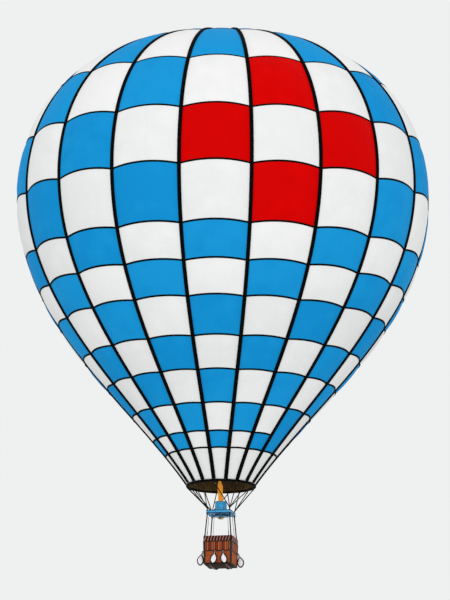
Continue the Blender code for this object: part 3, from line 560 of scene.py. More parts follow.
def ripstopNylon(name, tints):
    # thin coated nylon: a soft sheen, a faint grid of thicker threads, and creases that run up and down
    sockets = {"Roughness": 0.62, "Specular IOR Level": 0.02}
    made, tree, shader, place, colour, bump = makeMaterial(
        name, sockets, tints, 0.9, 0.05, 0.002, pattern="UV")
    spots = {"Vector": place.outputs[0]}
    patches = colour.inputs["Fac"].links[0].from_socket
    tone = addNode(tree, "ShaderNodeAttribute", {"attribute_name": "panelTone"})
    mixed = addNode(tree, "ShaderNodeMath", {"operation": "ADD"}, {0: patches, 1: tone.outputs["Fac"]})
    tree.links.new(mixed.outputs[0], colour.inputs["Fac"])

    threads = []
    for direction in ("X", "Y"):
        bands = {"bands_direction": direction, "Scale": waveRepeat / fabric["threadSpacing"]}
        wave = addNode(tree, "ShaderNodeTexWave", bands, spots)
        narrowed = {"operation": "POWER", 1: 10.0}
        threads.append(addNode(tree, "ShaderNodeMath", narrowed, {0: wave.outputs["Fac"]}))
    lines = {0: threads[0].outputs[0], 1: threads[1].outputs[0]}
    grid = addNode(tree, "ShaderNodeMath", {"operation": "MAXIMUM"}, lines)
    gridShare = addNode(tree, "ShaderNodeMath", {"operation": "MULTIPLY", 1: 0.05}, {0: grid.outputs[0]})
    half = {"data_type": "RGBA", "blend_type": "MULTIPLY", 7: (0.5, 0.5, 0.5, 1)}
    darker = addNode(tree, "ShaderNodeMix", half, {0: gridShare.outputs[0], 6: colour.outputs["Color"]})
    tree.links.new(darker.outputs[2], shader.inputs["Base Color"])

    raised = addNode(tree, "ShaderNodeBump", {"Strength": 0.25, "Distance": 0.002},
                     {"Height": grid.outputs[0], "Normal": bump.outputs["Normal"]})
    tall = addNode(tree, "ShaderNodeMapping", {"Scale": (2.6, 0.7, 1)}, spots)
    creases = {"Scale": 1 / fabric["creaseSize"], "Detail": 3.0, "Distortion": 0.6}
    folds = addNode(tree, "ShaderNodeTexNoise", creases, {"Vector": tall.outputs[0]})
    creased = addNode(tree, "ShaderNodeBump", {"Strength": 0.35, "Distance": 0.03},
                      {"Height": folds.outputs["Fac"], "Normal": raised.outputs["Normal"]})
    tree.links.new(creased.outputs["Normal"], shader.inputs["Normal"])
    return made


for shade, shadeTints in fabric["tints"].items():
    finish[shade] = ripstopNylon(f"Ripstop nylon, {shade}", shadeTints)


def stationsBetween(edges):                       # the lines of points down a gore, with the row below each
    found = []
    seamHalf = relief["seamTapeHalf"]
    for row, (top, bottom) in enumerate(zip(edges[:-1], edges[1:])):
        start, end = top + seamHalf, bottom - seamHalf
        steps = max(round((end - start) / fabric["step"]), 3)
        found += [(top, row), (start, row)]
        found += [(start + (end - start) * k / steps, row) for k in range(1, steps + 1)]
    found.append((edges[-1], len(edges) - 2))
    return found


def cutGore(edges):                               # one gore's outer face, and the row of each line
    shape = bmesh.new()
    stations, columns = stationsBetween(edges), fabric["columns"]
    uvLayer = shape.loops.layers.uv.new("FabricUV")
    across = [2 * k / columns - 1 for k in range(columns + 1)]
    rows = []
    for arc, _ in stations:
        rows.append([shape.verts.new(sewnPoint(goreAngle / 2, u, arc, 0.0, edges)) for u in across])
    for (arc, _), (nextArc, _), upper, lower in zip(stations[:-1], stations[1:], rows[:-1], rows[1:]):
        for k in range(columns):
            face = shape.faces.new((upper[k], lower[k], lower[k + 1], upper[k + 1]))
            spots = ((k, arc), (k, nextArc), (k + 1, nextArc), (k + 1, arc))
            for corner, (column, along) in zip(face.loops, spots):
                corner[uvLayer].uv = (across[column] * outlineAt(along)[0] * goreAngle / 2, along)
    piece = meshPiece("gore", shape, finish["white"], finish["blue"], finish["red"])
    piece.data.shade_smooth()
    return piece, [row for _, row in stations]


def sewGores():
    missing = fabric["missingSeam"]
    plain = cutGore(rowEdges)
    longPanel = cutGore(rowEdges[:missing + 1] + rowEdges[missing + 2:])
    for gore in range(envelope["gores"]):
        isLong = gore in fabric["longGores"]
        model, stationRows = longPanel if isLong else plain
        piece = copyPiece(model, turnZ(gore * goreAngle))
        tone = piece.data.attributes.new("panelTone", "FLOAT", "FACE")
        for face in piece.data.polygons:
            row = stationRows[face.index // fabric["columns"]]
            if isLong and row >= missing:
                row += 1
            face.material_index = panelColour(gore, row)
            tone.data[face.index].value = fabric["toneSpread"] * math.sin(12.9 * gore + 7.7 * row)
        giveWall(piece, fabric["thickness"])
        name = f"gore_{gore + 1:02d}"
        finishPiece(piece, f"fabric_{name}", "balloon", [name], smooth=None)
    for model, _ in (plain, longPanel):
        bpy.data.objects.remove(model)
    print("gores sewn:", envelope["gores"])


# webbing on the envelope
# a load tape is folded over a rolled seam, so it stands well up from the fabric
webbing = {
    "seamThickness": 0.018, "crownThickness": 0.008, "loadThickness": 0.055, "footGap": 0.022, "weave": 0.022,
    "seamSection": ((-1.0, -0.001), (-1.0, 0.0022), (-0.4, None), (0.4, None), (1.0, 0.0022), (1.0, -0.001)),
    "loadSection": (
        (-1.0, 0.0), (0.0, 0.0), (1.0, 0.0), (1.0, 0.6), (0.75, 1.0), (0.0, 1.15), (-0.75, 1.0), (-1.0, 0.6),
    ),
    "crownRadii": (0.20, 0.25, 0.30, 0.36, 0.46, 0.60, 0.80, 1.05, 1.30, 1.60, 1.85, 2.0),
    "nearRing": 0.14,                             # a tape's half width over its radius, beside the ring
}
crownRing = {
    "radius": 0.165, "bar": 0.020, "raised": 0.0072, "lapRadius": 0.38, "lapDrop": 0.020,
    "strapHalf": 0.0235, "strap": 0.004,
}


def blackWebbing():
    # woven polyester webbing: matt black with a ribbed weave; the real ribs are 2 mm, drawn coarse so that
    # they show
    sockets = {"Roughness": 0.85, "Specular IOR Level": 0.06}
    made, tree, shader, place, colour, bump = makeMaterial(
        "Polyester webbing, black", sockets, ("#010101", "#050505"), 0.12, 0.006, 0.001)
    bands = {"bands_direction": "Z", "Scale": waveRepeat / webbing["weave"]}
    ribs = addNode(tree, "ShaderNodeTexWave", bands, {"Vector": place.outputs[0]})
    ribbed = addNode(tree, "ShaderNodeBump", {"Strength": 0.5, "Distance": 0.002},
                     {"Height": ribs.outputs["Fac"], "Normal": bump.outputs["Normal"]})
    tree.links.new(ribbed.outputs["Normal"], shader.inputs["Normal"])
    return made


finish["webbing"] = blackWebbing()


def seamStrips(gore):                             # the tapes across one gore, on each seam and at the opening
    columns, half, angle = fabric["columns"], relief["seamTapeHalf"], (gore + 0.5) * goreAngle
    section = [(share * half, webbing["seamThickness"] if lift is None else lift)
               for share, lift in webbing["seamSection"]]
    arcs = [openingArc + half, *seamArcs]
    if gore in fabric["longGores"]:
        arcs.remove(seamArcs[fabric["missingSeam"]])
    strips = []
    for arc in arcs:
        rings = []
        for k in range(columns + 1):
            u = 2 * k / columns - 1
            rings.append([sewnPoint(angle, u, arc + along, lift) for along, lift in section])
        strips.append(skinRings("strip", rings, finish["webbing"]))
    return joinPieces(strips)


def sewSeamTapes():
    first, fourth = seamStrips(0), seamStrips(fabric["longGores"][0])
    strips = [first, fourth, copyPiece(fourth, turnZ(goreAngle))]
    others = [gore for gore in range(1, envelope["gores"]) if gore not in fabric["longGores"]]
    strips += [copyPiece(first, turnZ(gore * goreAngle)) for gore in others]
    finishPiece(joinPieces(strips), "seam_tapes", "balloon", smooth=50)


def tapeRing(centre, outward, half, low, high):   # the flat section of a strap in the tape's own plane
    side = Vector((1, 0, 0)) * half
    spots = (
        (-1.0, low), (0.0, low), (1.0, low), (1.0, high * 0.75), (0.8, high), (0.0, high * 1.1),
        (-0.8, high), (-1.0, high * 0.75),
    )
    return [centre + side * across + outward * lift for across, lift in spots]


def sewLoadTapes():
    ringRadius, lap, strap = crownRing["radius"], crownRing["lapRadius"], crownRing["strap"]
    ringZ = outlineAt(ringRadius)[1] + crownRing["raised"]
    rings = []
    for k in range(6):                            # the lap under the crown ring, from outside inwards
        radius = lap + (ringRadius - lap) * k / 5
        centre = Vector((0, -radius, outlineAt(radius)[1] - strap - crownRing["lapDrop"] * smoothStep(k / 5)))
        rings.append(tapeRing(centre, Vector((0, 0, -1)), webbing["nearRing"] * radius, 0.0, strap))
    for k in range(1, 9):                         # round the ring's bar, over its inner side
        turn = math.pi * (1 + k / 9)
        outward = Vector((0, -math.sin(turn), math.cos(turn)))
        centre = Vector((0, -ringRadius, ringZ)) + outward * (crownRing["bar"] + 0.0015)
        rings.append(tapeRing(centre, outward, crownRing["strapHalf"], 0.0, strap))
    thin, thick = webbing["crownThickness"], webbing["loadThickness"]
    for radius in webbing["crownRadii"]:          # over the parachute, growing wider and thicker outwards
        drop = smoothStep((0.34 - radius) / 0.16) * 0.029
        outlineRadius, z, out, up = outlineAt(arcAtRadius(radius))
        centre = Vector((0, -outlineRadius * envelope["valley"], z + drop))
        rising = smoothStep((radius - 0.5) / 1.5)
        half = min(0.055 + 0.023 * rising, webbing["nearRing"] * radius)
        rings.append(tapeRing(centre, Vector((0, -out, up)), half, 0.0012, thin + (thick - thin) * rising))
    for arc, _ in stationsBetween(rowEdges)[1:]:  # down the seam between two gores
        if arc > outlineLength - webbing["footGap"]:
            break
        halfWidth = outlineAt(arc)[0] * goreAngle / 2
        ring = []
        for across, lift in webbing["loadSection"]:
            offset = across * relief["loadTapeHalf"] / halfWidth
            gore, u = (goreAngle / 2, offset - 1) if across >= 0 else (-goreAngle / 2, 1 + offset)
            ring.append(sewnPoint(gore, u, arc, lift * thick - 0.0005))
        rings.append(ring)
    first = skinRings("load_tape", rings, finish["webbing"])
    tapes = [first] + [copyPiece(first, turnZ(k * goreAngle)) for k in range(1, envelope["gores"])]
    joined = joinPieces(tapes)
    finishPiece(joined, "load_tapes_webbing", "balloon", ["load_tapes"], smooth=50)
    print("webbing sewn")


def makeCrownRing():
    z = outlineAt(crownRing["radius"])[1] + crownRing["raised"]
    place = (crownRing["radius"], 0, z)
    bpy.ops.mesh.primitive_circle_add(
        vertices=16, radius=crownRing["bar"], location=place, rotation=(math.pi / 2, 0, 0))
    ring = bpy.context.object
    settle(ring)
    bpy.ops.object.mode_set(mode="EDIT")
    bpy.ops.mesh.select_all(action="SELECT")
    bpy.ops.mesh.spin(steps=72, angle=2 * math.pi, center=(0, 0, 0), axis=(0, 0, 1))
    bpy.ops.mesh.select_all(action="SELECT")
    bpy.ops.mesh.remove_doubles(threshold=0.0001)
    bpy.ops.mesh.normals_make_consistent(inside=False)
    bpy.ops.object.mode_set(mode="OBJECT")
    ring.data.materials.append(finish["anodised"])
    finishPiece(ring, "crown_ring_forged", "balloon", ["crown_ring"], smooth=60)


# parachute vent
parachute = {
    "radius": 2.30, "rings": (0.75, 1.45), "sunk": 0.0106, "swell": 0.014, "thickness": 0.004,
    "radii": (
        0.06, 0.16, 0.3, 0.45, 0.6, 0.75, 0.9, 1.05, 1.2, 1.35, 1.5, 1.65, 1.8, 1.95, 2.05, 2.15, 2.24, 2.30,
    ),
    "hubDrop": 0.040, "perGore": 8, "seamHalf": 0.018, "seamStart": 0.14, "seamEnd": 2.285,
    "edgeTape": (2.245, 2.297),
}


def parachuteProfile():                           # (radius, z) of its upper side, hub to rim
    sunk, valley = parachute["sunk"], envelope["valley"]
    points = [(0.0, level(envelope["crownHeight"]) - parachute["hubDrop"])]
    for arc in (*parachute["rings"], openingArc):
        radius, z, out, up = outlineAt(arc)
        points.append((radius * valley - out * sunk, z - up * sunk))
    startRadius, startZ = points[-1]
    endRadius, endZ, _, _ = outlineAt((rowEdges[0] + rowEdges[1]) / 2)
    share = (parachute["radius"] - startRadius) / (endRadius * valley - startRadius)
    points.append((parachute["radius"], startZ + (endZ - sunk - startZ) * share))
    return points


def parachutePoint(radius, angle, profile, lift=0.0):
    k = min(bisect.bisect_left([r for r, _ in profile[1:-1]], radius), len(profile) - 2)
    (r0, z0), (r1, z1) = profile[k], profile[k + 1]
    z = z0 + (z1 - z0) * (radius - r0) / (r1 - r0)
    between = math.sin(envelope["gores"] * angle / 2) ** 2     # 0 under each load tape, 1 between two
    room = smoothStep((radius - 0.25) / 0.7) * smoothStep((1.98 - radius) / 0.4)
    return roundAxis(radius, angle, z + lift + parachute["swell"] * between * room)


def makeParachute():
    profile, count, radii = parachuteProfile(), envelope["gores"] * parachute["perGore"], parachute["radii"]
    angles = [2 * math.pi * k / count for k in range(count)]
    shape = bmesh.new()
    uvLayer = shape.loops.layers.uv.new("FabricUV")
    hubZ = profile[0][1]
    hub = shape.verts.new((0, 0, hubZ))
    rings = []
    for radius in radii:
        rings.append([shape.verts.new(parachutePoint(radius, angle, profile)) for angle in angles])
    for k in range(count):
        after = (k + 1) % count
        shape.faces.new((hub, rings[0][k], rings[0][after]))
        for inner, outer in zip(rings[:-1], rings[1:]):
            shape.faces.new((inner[k], outer[k], outer[after], inner[after]))
    for face in shape.faces:
        for corner in face.loops:
            corner[uvLayer].uv = corner.vert.co.xy
    piece = meshPiece("parachute", shape, finish["blue"])
    piece.data.shade_smooth()
    giveWall(piece, parachute["thickness"])
    finishPiece(piece, "parachute_fabric", "parachute", ["parachute_vent"], smooth=None)

    strips, tape = [], finish["webbing"]          # radial seams, the edge's binding and a patch at the hub
    for k in range(envelope["gores"]):
        angle, rings = (k + 0.5) * goreAngle, []
        for radius in (parachute["seamStart"], *radii[2:-1], parachute["seamEnd"]):
            side = parachute["seamHalf"] / radius
            section = ((-side, -0.001), (side, -0.001), (side, 0.002), (0, 0.003), (-side, 0.002))
            rings.append([parachutePoint(radius, angle + turn, profile, lift) for turn, lift in section])
        strips.append(skinRings("seam", rings, tape))
    inner, outer = parachute["edgeTape"]
    section = ((inner, -0.001), (outer, -0.001), (outer, 0.002), (inner, 0.002))
    edge = [[parachutePoint(radius, angle, profile, lift) for radius, lift in section] for angle in angles]
    strips.append(skinRings("edge", edge, tape, loop=True))
    patch = ((0.004, hubZ + 0.001), (0.13, hubZ + 0.004), (0.155, hubZ + 0.0035), (0.158, hubZ - 0.001))
    strips.append(addTurned(patch, tape, 36))
    seams = finishPiece(joinPieces(strips), "parachute_seams", "parachute", smooth=50)
    print("crown closed")


# mouth: hem, and a dark lining that is painted shade inside the mouth
mouth = {
    "hemInner": 1.302, "hemOuter": 1.395, "hemHeight": 0.085, "hemSoft": 0.022, "hemGroove": 0.005,
    "liningReach": 1.9, "liningGap": 0.016, "liningThickness": 0.003, "liningColumns": 144, "liningRows": 16,
}


def makeMouth():
    top, bottom = level(envelope["mouthHeight"]) - 0.0003, level(envelope["mouthHeight"] - mouth["hemHeight"])
    inner, outer, soft = mouth["hemInner"], mouth["hemOuter"], mouth["hemSoft"]
    middle = (top + bottom) / 2
    profile = (
        (inner + soft, bottom), (outer - soft, bottom), (outer - 0.3 * soft, bottom + 0.3 * soft),
        (outer, bottom + soft), (outer, middle - 0.004), (outer - mouth["hemGroove"], middle),
        (outer, middle + 0.004), (outer, top - soft), (outer - 0.3 * soft, top - 0.3 * soft),
        (outer - soft, top), (inner + soft, top), (inner, top - soft), (inner, bottom + soft),
    )
    hem = addTurned(profile, finish["webbing"], 108, closed=True)
    finishPiece(hem, "mouth_hem_roll", "balloon", ["mouth_hem"], smooth=50)

    count, rows = mouth["liningColumns"], mouth["liningRows"]
    rings = []
    for k in range(count):
        turn = 2 * math.pi * k / count
        angle = (math.floor(turn / goreAngle) + 0.5) * goreAngle
        u = (turn - angle) / (goreAngle / 2)
        reach = mouth["liningReach"] * (1 - 0.05 * (1 - u * u))
        line = [(angle, u, outlineLength + 0.010 - reach * step / rows) for step in range(rows + 1)]
        face = [sewnPoint(*spot, -mouth["liningGap"]) for spot in line]
        back = [sewnPoint(*spot, -mouth["liningGap"] - mouth["liningThickness"]) for spot in reversed(line)]
        rings.append(face + back)
    # a dark sheet just inside the lowest panels: painted shade for the inside of the mouth
    lining = skinRings("lining", rings, finish["aramid"], loop=True)
    finishPiece(lining, "mouth_shade_lining", "balloon", smooth=50)
    print("mouth finished")


# rigging between envelope and burner frame
rigging = {
    "wireRadius": 0.019, "hemRadius": 1.350, "cornerCentre": 0.450, "frameTop": 2.225, "wireSpacing": 0.010,
    "block": 0.070, "plate": 0.012, "boltReach": 0.024,
    "ferrule": (0.019, 0.024, 0.024, 0.019),      # its radii, at the distances from a wire's ends below
    "lowFerrule": (0.010, 0.022, 0.120, 0.135), "highFerrule": (0.016, 0.026, 0.090, 0.104),
}


def cornerOf(angle):                              # the frame corner that takes the wire at an angle
    turn = math.degrees(angle) % 360
    return corners[3 if turn > 270 else 2 if turn >= 179.9 else 1 if turn > 90 else 0]


def makeRigging():
    rope, steel = finish["rope"], finish["steel"]
    fans = {}
    for k in range(envelope["gores"]):
        signs, name = cornerOf(k * goreAngle)
        fans.setdefault(name, (signs, []))[1].append(k * goreAngle)
    hemBottom = level(envelope["mouthHeight"] - mouth["hemHeight"])
    low = level(rigging["frameTop"]) + 0.0003
    half, reach = rigging["block"] / 2, rigging["boltReach"]
    for name, (signs, angles) in fans.items():
        x, y = signs[0] * rigging["cornerCentre"], signs[1] * rigging["cornerCentre"]
        parts = [
            addBlock((x - half, y - half, low), (x + half, y + half, low + rigging["plate"]), steel, 0.003),
            addBlock((x - 0.022, y - 0.007, low + 0.008), (x + 0.022, y + 0.007, low + 0.062), steel, 0.005),
        ]
        for dx, dy in ((-reach, -reach), (reach, -reach), (reach, reach), (-reach, reach)):
            spot = (x + dx, y + dy)
            parts.append(addTube([(*spot, low + 0.010), (*spot, low + 0.020)], 0.007, steel, 6))
        # the master link gathers the wires' ends
        link = circlePoints((x, y, low + 0.060), (0, 0.024, 0), (0, 0, 0.026), 20)
        parts.append(addTube(link, 0.0065, steel, 8, closed=True))
        for k, angle in enumerate(angles):
            spread = (k - (len(angles) - 1) / 2) * rigging["wireSpacing"]
            foot = Vector((x + spread * signs[1], y - spread * signs[0], low + 0.070))
            head = roundAxis(rigging["hemRadius"], angle, hemBottom - 0.018)
            along = (head - foot).normalized()
            parts.append(addTube([foot, head], rigging["wireRadius"], rope, 8))
            for end, way, places in ((foot, along, "lowFerrule"), (head, -along, "highFerrule")):
                spots = [end + way * d for d in rigging[places]]
                parts.append(addTube(spots, max(rigging["ferrule"]), steel, 10, radii=rigging["ferrule"]))
            eye = circlePoints(head, roundAxis(0.020, angle, 0.0), (0, 0, 0.020), 14)
            parts.append(addTube(eye, 0.006, steel, 6, closed=True))
        joined = joinPieces(parts)
        finishPiece(joined, f"rigging_{name}", "balloon", [f"flying_wires_{name}"], smooth=50)
    print("rigging hung")


# burner frame and gimbal
burnerFrame = {
    "half": 0.490, "bottom": 2.115, "depth": 0.11, "wall": 0.080, "pan": 0.016, "hole": 0.325, "edge": 0.006,
    "pivot": 2.070, "lugInner": 0.335, "lugOuter": 0.415, "lugHalf": 0.030, "boss": 0.022,
    "edging": 0.015, "holeEdging": 0.011, "bolt": 0.011, "boltPlaces": (-0.36, -0.12, 0.12, 0.36),
}
gimbal = {
    "section": (
        (0.259, -0.036), (0.285, -0.036), (0.289, -0.031), (0.286, -0.022), (0.286, 0.022),
        (0.289, 0.031), (0.285, 0.036), (0.259, 0.036), (0.256, 0.032), (0.256, -0.032),
    ),
    # along a pivot pin's axis: start, end, radius and number of sides of the pin, its collar and its nut
    "pin": ((0.284, 0.376, 0.0098, 14), (0.286, 0.302, 0.019, 14), (0.304, 0.309, 0.015, 6)),
}


def roundedSquare(half, corner, z, perCorner=5):
    points, inner = [], half - corner
    for quarter, ((sx, sy), _) in enumerate(corners):
        for k in range(perCorner + 1):
            turn = math.pi / 2 * (quarter - 1 + k / perCorner)
            x, y = sx * inner + corner * math.cos(turn), sy * inner + corner * math.sin(turn)
            points.append(Vector((x, y, z)))
    return points


def makeFrame():
    enamel, rubber, steel = finish["enamel"], finish["rubber"], finish["steel"]
    half, hole, pan = burnerFrame["half"], burnerFrame["hole"], burnerFrame["pan"]
    bottom, pivot = level(burnerFrame["bottom"]), level(burnerFrame["pivot"])
    top = level(burnerFrame["bottom"] + burnerFrame["depth"])
    tray = addBlock((-half, -half, bottom), (half, half, top), enamel, 0)
    bpy.ops.object.mode_set(mode="EDIT")
    selectFaces(tray, lambda centre, normal: normal.z > 0.9)
    bpy.ops.mesh.inset(thickness=burnerFrame["wall"], depth=0)
    bpy.ops.mesh.extrude_region_move(TRANSFORM_OT_translate={"value": (0, 0, pan - burnerFrame["depth"])})
    bpy.ops.object.mode_set(mode="OBJECT")
    middle = (0, 0, bottom + pan / 2)
    bpy.ops.mesh.primitive_cylinder_add(vertices=72, radius=hole, depth=0.06, location=middle)
    cutter = bpy.context.object
    pick(tray)
    cut = tray.modifiers.new("Hole", "BOOLEAN")
    cut.operation, cut.solver, cut.object = "DIFFERENCE", "EXACT", cutter
    bpy.ops.object.modifier_apply(modifier=cut.name)
    bpy.data.objects.remove(cutter)
    softenEdges(tray, burnerFrame["edge"], 3, 50)
    bpy.ops.object.modifier_apply(modifier="Edges")
    parts, lugHalf, boss = [tray], burnerFrame["lugHalf"], burnerFrame["boss"]
    for side in (-1, 1):                          # bearing lugs with their bosses
        start, end = sorted((side * burnerFrame["lugInner"], side * burnerFrame["lugOuter"]))
        low, high = (start, -lugHalf, pivot - lugHalf), (end, lugHalf, bottom + 0.008)
        parts.append(addBlock(low, high, enamel, 0.008, 3))
        parts.append(addTube([(start - 0.004, 0, pivot), (end + 0.004, 0, pivot)], boss, steel, 16))
    spots = [Vector((x, 0.001 - half, (top + bottom) / 2)) for x in burnerFrame["boltPlaces"]]
    heads = [aimMatrix(spot, forwards) for spot in spots]
    bolt = addTube([(0, 0, 0), (0, 0, 0.006)], burnerFrame["bolt"], steel, 6)
    parts += spreadCopies(bolt, [turnZ(k * math.pi / 2) @ head for k in range(4) for head in heads])
    joined = joinPieces(parts)
    finishPiece(joined, "burner_frame_tray", "balloon", ["load_frame"], smooth=40)

    edges = []
    for z in (bottom + 0.006, top - 0.004):
        square = roundedSquare(half - 0.001, 0.018, z)
        edges.append(addTube(square, burnerFrame["edging"], rubber, 10, closed=True))
    holeRound = circlePoints((0, 0, bottom + 0.008), (hole, 0, 0), (0, hole, 0), 72)
    edges.append(addTube(holeRound, burnerFrame["holeEdging"], rubber, 8, closed=True))
    finishPiece(joinPieces(edges), "burner_frame_edging", "balloon", smooth=60)


def makeGimbal():
    z = level(burnerFrame["pivot"])
    profile = [(radius, z + rise) for radius, rise in gimbal["section"]]
    parts = [addTurned(profile, finish["darkEnamel"], 72, closed=True)]
    for side in (-1, 1):
        for start, end, radius, sides in gimbal["pin"]:
            parts.append(addTube([(side * start, 0, z), (side * end, 0, z)], radius, finish["steel"], sides))
    joined = joinPieces(parts)
    finishPiece(joined, "gimbal_ring_turned", "gimbal", ["gimbal_ring"], smooth=40)


# burner
burner = {
    "radius": 0.235, "bottom": 2.025, "top": 2.63, "floor": 0.030, "sheet": 0.006, "hub": 0.03,
    "beads": (2.265, 2.500), "slotBand": (2.330, 2.415),
    "slotEvery": 30, "slotWidth": (7.5, 15),      # degrees
    "pin": ((0.228, 0.279, 0.0098), (0.233, 0.244, 0.020)),
    "coilRadius": 0.165, "coilTube": 0.0125, "coilTurns": 2.5, "coilPitch": 0.075, "coilSteps": 28,
    "gasRing": 0.085, "jets": 10, "legs": 3,
    "jet": ((0.009, 0.0), (0.009, 0.014), (0.006, 0.020), (0.006, 0.030), (0.0025, 0.034)),
    "flameTints": ("#E59018", "#D98B26", "#B87F34", "#80582A"), "flameTop": 3.62, "flameFoot": 2.16,
    "glowPower": 120.0, "glowHeight": 3.50, "glowColour": (1.0, 0.62, 0.26),
    # each tongue: its place across the burner, its widest radius, its top and the start of its sway
    "tongues": (
        (-0.004, 0.0, 0.088, 3.62, 0.0), (-0.050, 0.016, 0.066, 3.56, 2.1), (0.044, 0.012, 0.062, 3.52, 4.4),
        (0.0, -0.046, 0.056, 3.34, 1.2), (-0.014, 0.056, 0.058, 3.44, 5.3),
    ),
}


def makeCan():
    r, bottom, top = burner["radius"], level(burner["bottom"]), level(burner["top"])
    floor, inner = bottom + burner["floor"], r - burner["sheet"]
    slotLow, slotHigh = (level(edge) for edge in burner["slotBand"])
    footBead = level(burner["beads"][0])
    profile = [(burner["hub"], bottom), (r - 0.010, bottom), (r, bottom + 0.010)]
    for bead in burner["beads"]:
        z = level(bead)
        profile += [(r, z - 0.013), (r + 0.005, z - 0.006), (r + 0.005, z + 0.006), (r, z + 0.013)]
        if z == footBead:
            profile += [(r, slotLow), (r, slotHigh)]
    profile += [
        (r, top - 0.024), (r + 0.007, top - 0.017), (r + 0.008, top - 0.007), (r + 0.002, top),
        (inner, top - 0.004), (inner - 0.001, top - 0.020), (inner, floor + 0.012), (inner - 0.012, floor),
        (burner["hub"], floor),
    ]
    can = addTurned(profile, finish["enamel"], 48)
    can.data.materials.append(finish["heatSteel"])
    can.data.materials.append(finish["soot"])

    def outside(centre):
        return centre.to_2d().length > inner + 0.002

    def isSlot(centre, normal):
        turn = math.degrees(math.atan2(centre.x, -centre.y)) % burner["slotEvery"]
        start, end = burner["slotWidth"]
        return slotLow + 0.001 < centre.z < slotHigh - 0.001 and outside(centre) and start < turn < end

    def isFloor(centre, normal):
        return centre.z > floor - 0.002 and centre.to_2d().length < inner + 0.0005

    def isSooted(centre, normal):                 # the rolled rim and the foot bead
        return outside(centre) and (centre.z > top - 0.026 or abs(centre.z - footBead) < 0.014)

    bpy.ops.object.mode_set(mode="EDIT")          # air slots: every fourth face of one band, pushed in
    selectFaces(can, isSlot)
    bpy.ops.mesh.inset(thickness=0.005, depth=0, use_individual=True)
    bpy.ops.mesh.extrude_faces_move(TRANSFORM_OT_shrink_fatten={"value": -0.0035})
    # the pushed-in slot bottoms take the near-black material: painted shade for the dark behind open slots
    can.active_material_index = 2
    bpy.ops.object.material_slot_assign()
    paintFaces(can, 1, isFloor)
    paintFaces(can, 2, isSooted)
    bpy.ops.object.mode_set(mode="OBJECT")
    parts, pivot = [can], level(burnerFrame["pivot"])
    for side in (-1, 1):
        for start, end, radius in burner["pin"]:
            pin = [(0, side * start, pivot), (0, side * end, pivot)]
            parts.append(addTube(pin, radius, finish["steel"], 14))
    joined = joinPieces(parts)
    finishPiece(joined, "burner_can_rolled", "burner", ["burner_can"], smooth=40)


def makeCoil():
    brass, ring, steps = finish["brass"], burner["gasRing"], burner["coilSteps"]
    floor = level(burner["bottom"]) + burner["floor"]
    start = floor + burner["coilTube"] + 0.001
    path = []
    for k in range(round(burner["coilTurns"] * steps) + 1):
        rise = burner["coilPitch"] * k / steps
        path.append(roundAxis(burner["coilRadius"], 2 * math.pi * k / steps, start + rise))
    parts = [addTube(path, burner["coilTube"], finish["heatSteel"], 12)]
    gasRing = circlePoints((0, 0, floor + 0.052), (0, -ring, 0), (ring, 0, 0), 40)
    parts.append(addTube(gasRing, 0.009, brass, 10, closed=True))
    jet = addTurned(burner["jet"], brass, 12)
    places = [roundAxis(ring, 2 * math.pi * k / burner["jets"], floor + 0.056) for k in range(burner["jets"])]
    pilot = Matrix.Translation((0, 0, floor + 0.040)) @ Matrix.Scale(1.6, 4)
    parts += spreadCopies(jet, [Matrix.Translation(place) for place in places] + [pilot])
    parts.append(addTube([(0, 0, floor), (0, 0, floor + 0.046)], 0.012, brass, 12))
    for k in range(burner["legs"]):
        turn = 2 * math.pi * (k + 0.5) / burner["legs"]
        leg = [roundAxis(ring, turn, z) for z in (floor - 0.001, floor + 0.050)]
        parts.append(addTube(leg, 0.007, brass, 8))
    joined = joinPieces(parts)
    finishPiece(joined, "vaporiser_coil_bent", "burner", ["vaporiser_coil"], smooth=50)


valves = {
    "halfWidth": 0.085, "halfDepth": 0.045, "height": 0.090,
    # the blast valve's lever grip: places along Y and the radius at each
    "gripPlaces": (-0.082, -0.088, -0.100, -0.118, -0.136, -0.145),
    "gripRadii": (0.009, 0.012, 0.0115, 0.0125, 0.0115, 0.008),
    "gauge": ((0.020, 0.0), (0.022, 0.004), (0.022, 0.016), (0.020, 0.019), (0.018, 0.017), (0.003, 0.017)),
    "gaugeFace": ((0.0175, 0.0), (0.0175, 0.0010), (0.002, 0.0012)), "gaugeX": 0.052, "gaugeRise": 0.008,
}


def makeValves():
    brass, steel = finish["brass"], finish["steel"]
    wide, deep, top = valves["halfWidth"], valves["halfDepth"], level(burner["bottom"]) - 0.0003
    middle = top - valves["height"] / 2
    block = addBlock((-wide, -deep, top - valves["height"]), (wide, deep, top), brass, 0.007, 3)
    bpy.ops.object.mode_set(mode="EDIT")
    selectFaces(block, lambda centre, normal: normal.z < -0.99)
    bpy.ops.mesh.inset(thickness=0.012, depth=0)
    bpy.ops.mesh.extrude_region_move(TRANSFORM_OT_translate={"value": (0, 0, 0.004)})
    bpy.ops.object.mode_set(mode="OBJECT")
    parts = [block]
    parts.append(addTube([(0, -0.040, middle), (0, -0.062, middle)], 0.016, steel, 12))
    parts.append(addTube([(0, -0.055, middle), (0, -0.100, middle)], 0.007, steel, 10))
    grip = [(0, y, middle) for y in valves["gripPlaces"]]
    parts.append(addTube(grip, 0.012, finish["rubber"], 14, radii=valves["gripRadii"]))
    unions = (
        (0.083, 0.100, 0.016, brass, 6), (0.099, 0.118, 0.011, brass, 12), (0.117, 0.124, 0.0135, steel, 12),
    )
    for side in (-1, 1):                          # capped fuel unions
        for start, end, radius, metal, sides in unions:
            parts.append(addTube([(side * start, 0, middle), (side * end, 0, middle)], radius, metal, sides))
    gauge = ((valves["gauge"], steel, -0.044), (valves["gaugeFace"], finish["dial"], -0.0612))
    for profile, material, y in gauge:
        place = Vector((valves["gaugeX"], y, middle + valves["gaugeRise"]))
        parts += spreadCopies(addTurned(profile, material, 28), [aimMatrix(place, forwards)])
    finishPiece(joinPieces(parts), "valve_block_fitted", "burner", ["valve_block"], smooth=40)


